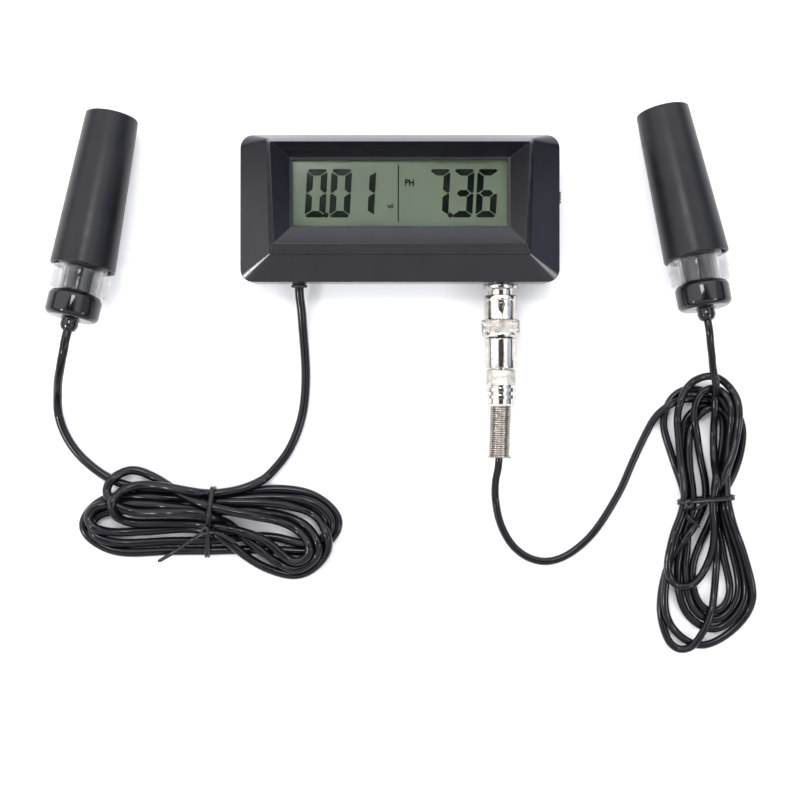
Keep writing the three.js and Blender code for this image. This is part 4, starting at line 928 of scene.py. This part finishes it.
def bundle_hull(p, across, at, diameter, span):
    """Outline, across the bundle and up, of the strands that pass the tie, with room for the ribbon."""
    near, clearance = 1.3, 0.1
    keep = (np.abs(p[:, 1 - across] - at) < near) & (p[:, across] > span[0]) & (p[:, across] < span[1])
    radius = diameter / 2 + TIE_THICK / 2 + clearance
    rim = [(s + radius * math.cos(a), z + radius * math.sin(a))
           for s, z in zip(p[keep, across], p[keep, 2]) for a in np.linspace(0, 2 * math.pi, 25)]
    return [(s, max(z, TIE_THICK / 2)) for s, z in hull(rim)]


def flat_ribbon(path, wide_way):
    """Sweeps the tie's section with its broad side held along the given way."""
    pts, section, verts = [Vector(q) for q in path], ridged_ribbon(), []
    for i, q in enumerate(pts):
        run = (pts[min(i + 1, len(pts) - 1)] - pts[max(i - 1, 0)]).normalized()
        wide = Vector(wide_way)
        wide = (wide - run * wide.dot(run)).normalized()
        up = run.cross(wide).normalized()
        verts += [tuple(q + wide * x + up * y) for x, y in section]
    return verts, tube_faces(len(pts), len(section))


def make_tie(name, p, across, at, span, diameter, body, node, knot, tails):
    """A twist tie drawn round the bundle, twisted at the knot, with its two ends laid out."""
    outline = bundle_hull(p, across, at, diameter, span)
    lean = 0.10
    loop = []
    for s, z in outline:
        along = at + lean * (s - knot[across])
        loop.append((s, along, z) if across == 0 else (along, s, z))
    loop = spline(loop, 1.0, closed_path=True)
    loop.append(loop[0])
    shapes = [flat_ribbon(loop, (0, 1, 0) if across == 0 else (1, 0, 0))]
    top = max(z for _, z in outline)
    twist, steps, radius, rise = [], 24, 1.1, 1.5
    for k in range(steps + 1):
        t = k / steps
        a = 4 * math.pi * t
        twist.append((knot[0] + radius * math.cos(a), knot[1] + radius * math.sin(a), top + 0.3 + rise * t))
    shapes.append(flat_ribbon(twist, (0, 0, 1)))
    for tail in tails:
        path = spline([(*knot, top + 1.2), *tail], 1.2)
        shapes.append(flat_ribbon(path, (0.25, 0.35, 0.8)))
    return piece(name, merged(*shapes), TIE, body, [node], crease=50)


def bump(distance):
    """How far the tie's lower strand lifts a cord that lies this far from it along the bundle."""
    return TIE_THICK * np.exp(-((distance / 6) ** 2))


def make_ec_cord():
    top = [(x, y, EC_LAST_RANK) for x, y, _ in EC_FROM_METER[-3:]]
    route = [
        *fixed([(GLAND_X, -25.6, GLAND_Z), *EC_FROM_METER[:-3]]),
        *ranked([*top, (EC_TIE_X, EC_FIRST_SLOT, EC_LAST_RANK)], EC_CORD_D),
        *through_bends(EC_BENDS, lambda slot: (EC_TIE_X, slot), EC_CORD_D),
        *ranked([(x, y, 1) for x, y, _ in EC_TO_PROBE[:5]], EC_CORD_D),
        *fixed([*EC_TO_PROBE[5:], *into_nub(EC_PROBE, 4.5)]),
    ]
    line = settle(route, EC_CORD_D, 4.0, lambda p: bump(p[:, 0] - EC_TIE_X) * (p[:, 1] < -104))
    nodes = ["ec_cord_to_meter", "ec_cord_hank", "ec_cord_to_probe"]
    cord = make_cord("ec_cable", line, EC_CORD_D, "meter", nodes)
    tails = [[(-77.0, -122.6, 9.5), (-84.0, -127.4, 8.0), (-91.0, -131.7, 5.0)],
             [(-68.5, -120.6, 9.6), (-61.6, -124.3, 8.4)]]
    tie = make_tie("ec_twist_tie", line, 1, EC_TIE_X, (-135, -100), EC_CORD_D, "meter", "ec_cord_tie",
                   (-72.6, -119.6), tails)


def make_ph_cord():
    route = [
        *fixed([(37.3, -84.0, 8.5), (37.2, -92.0, 8.5), *PH_FROM_PLUG]),
        *ranked(PH_OVER_HANK, PH_CORD_D),
        *through_bends(PH_BENDS, lambda slot: (slot, PH_TIE_Y), PH_CORD_D),
        *ranked(PH_UP_HANK, PH_CORD_D),
        *fixed([*PH_TO_PROBE, *into_nub(PH_PROBE, 4.0)]),
    ]
    line = settle(route, PH_CORD_D, 4.8, lambda p: bump(p[:, 1] - PH_TIE_Y) * (p[:, 0] > 104))
    nodes = ["ph_cord_to_plug", "ph_cord_hank", "ph_cord_to_probe"]
    cord = make_cord("ph_cable", line, PH_CORD_D, "ph_lead", nodes)
    tails = [[(111.0, -111.6, 8.2), (115.2, -109.2, 9.2), (117.4, -108.0, 9.0)],
             [(107.6, -113.6, 7.2), (112.6, -118.8, 6.4)]]
    tie = make_tie("ph_twist_tie", line, 0, PH_TIE_Y, (100, 130), PH_CORD_D, "ph_lead", "ph_cord_tie",
                   (107.6, -109.6), tails)


# ---------------------------------------------------------------- studio, in metres
TABLE_HALF, TABLE_AT = 30.0, (0, -0.07, -0.0002)
CAMERA_AT, CAMERA_LENS, CAMERA_REACH = (0, -0.0708, 0.610), 72.07, (0.02, 100.0)
# Name, place, target, width, height and power in watts.
LAMPS = (
    ("key_softbox", (-0.055, 0.19, 0.66), (0, -0.03, 0), 0.17, 0.12, 1.1),
    ("left_strip", (-0.518, -0.30, 0.46), (-0.05, -0.02, 0), 0.09, 0.09, 1.5),
    ("right_strip", (0.518, -0.30, 0.46), (0.05, -0.02, 0), 0.18, 0.14, 0.9),
)
TENT_POWER, TENT_WHITE = 2.5, (0.98, 0.985, 1.03)
# The tent's brightness along each direction of space, as [cosine, colour or grey] stops.
TENT = {
    "Z": [(0.0, 0.08), (0.14, 0.22), (0.3, TENT_WHITE), (0.90, TENT_WHITE), (0.965, 0.045)],
    "Y": [(-1.0, 0.18), (-0.92, 0.3), (-0.78, 0.6), (-0.4, 0.45), (0.0, 1.0), (0.9, 1.0)],
    "X": [(-0.95, 0.8), (-0.6, 1.0), (0.62, 1.0), (0.74, (0.36, 0.40, 0.46)), (1.0, (0.3, 0.34, 0.4))],
}


def make_table():
    corners = [(x * TABLE_HALF, y * TABLE_HALF, 0) for x, y in ((-1, -1), (1, -1), (1, 1), (-1, 1))]
    mesh = bpy.data.meshes.new("table")
    mesh.from_pydata(corners, [], [(0, 1, 2, 3)])
    paper = Shader("table_paper", Roughness=0.9)
    paper.colour((0.93, 0.93, 0.93), (0.95, 0.95, 0.95), scale=8)
    mesh.materials.append(paper.relief(paper.noise(900), strength=0.02, depth=0.00003).mat)
    table = linked("table", mesh)
    table.location = TABLE_AT


def make_tent():
    """A soft white tent whose brightness is the product of one ramp for each direction of space."""
    world = bpy.data.worlds.new("tent")
    bpy.context.scene.world = world
    world.use_nodes = True
    tree = world.node_tree
    way = tree.nodes.new("ShaderNodeSeparateXYZ")
    tree.links.new(tree.nodes.new("ShaderNodeTexCoord").outputs["Generated"], way.inputs[0])
    light = None
    for axis, stops in TENT.items():
        scale = tree.nodes.new("ShaderNodeMapRange")
        scale.inputs["From Min"].default_value = -1.0
        tree.links.new(way.outputs[axis], scale.inputs["Value"])
        ramp = tree.nodes.new("ShaderNodeValToRGB")
        while len(ramp.color_ramp.elements) < len(stops):
            ramp.color_ramp.elements.new(0.5)
        for element, (at, value) in zip(ramp.color_ramp.elements, stops):
            element.position = (at + 1) / 2
            element.color = (*(value if isinstance(value, tuple) else [value] * 3), 1.0)
        tree.links.new(scale.outputs["Result"], ramp.inputs["Fac"])
        veil = ramp.outputs["Color"]
        if light:
            mix = tree.nodes.new("ShaderNodeMix")
            mix.data_type, mix.blend_type = "RGBA", "MULTIPLY"
            mix.inputs["Factor"].default_value = 1.0
            tree.links.new(light, mix.inputs["A"])
            tree.links.new(veil, mix.inputs["B"])
            veil = mix.outputs["Result"]
        light = veil
    sky = tree.nodes["Background"]
    tree.links.new(light, sky.inputs["Color"])
    sky.inputs["Strength"].default_value = TENT_POWER


def make_lamps():
    for name, at, target, wide, high, power in LAMPS:
        lamp = bpy.data.lights.new(name, "AREA")
        lamp.shape, lamp.size, lamp.size_y, lamp.energy = "RECTANGLE", wide, high, power
        made = linked(name, lamp)
        made.location = at
        made.rotation_mode = "QUATERNION"
        made.rotation_quaternion = (Vector(target) - Vector(at)).to_track_quat("-Z", "Y")


def make_camera():
    camera = bpy.data.cameras.new("overhead")
    camera.lens, camera.sensor_width = CAMERA_LENS, 36.0
    camera.clip_start, camera.clip_end = CAMERA_REACH
    made = linked("overhead", camera)
    made.location = CAMERA_AT
    bpy.context.scene.camera = made
    bpy.context.scene.view_settings.view_transform = "Standard"


make_bezel()
dress_cad()
make_figures()
make_connector()
make_spring()
make_probe("ec", "meter", "ec_sleeve_cover", "ec_clip", EC_CORD_D, **EC_PROBE)
make_probe("ph", "ph_lead", "ph_sleeve_cover", "ph_clip", PH_CORD_D, **PH_PROBE)
make_gland()
make_ec_cord()
make_ph_cord()
make_table()
make_tent()
make_lamps()
make_camera()
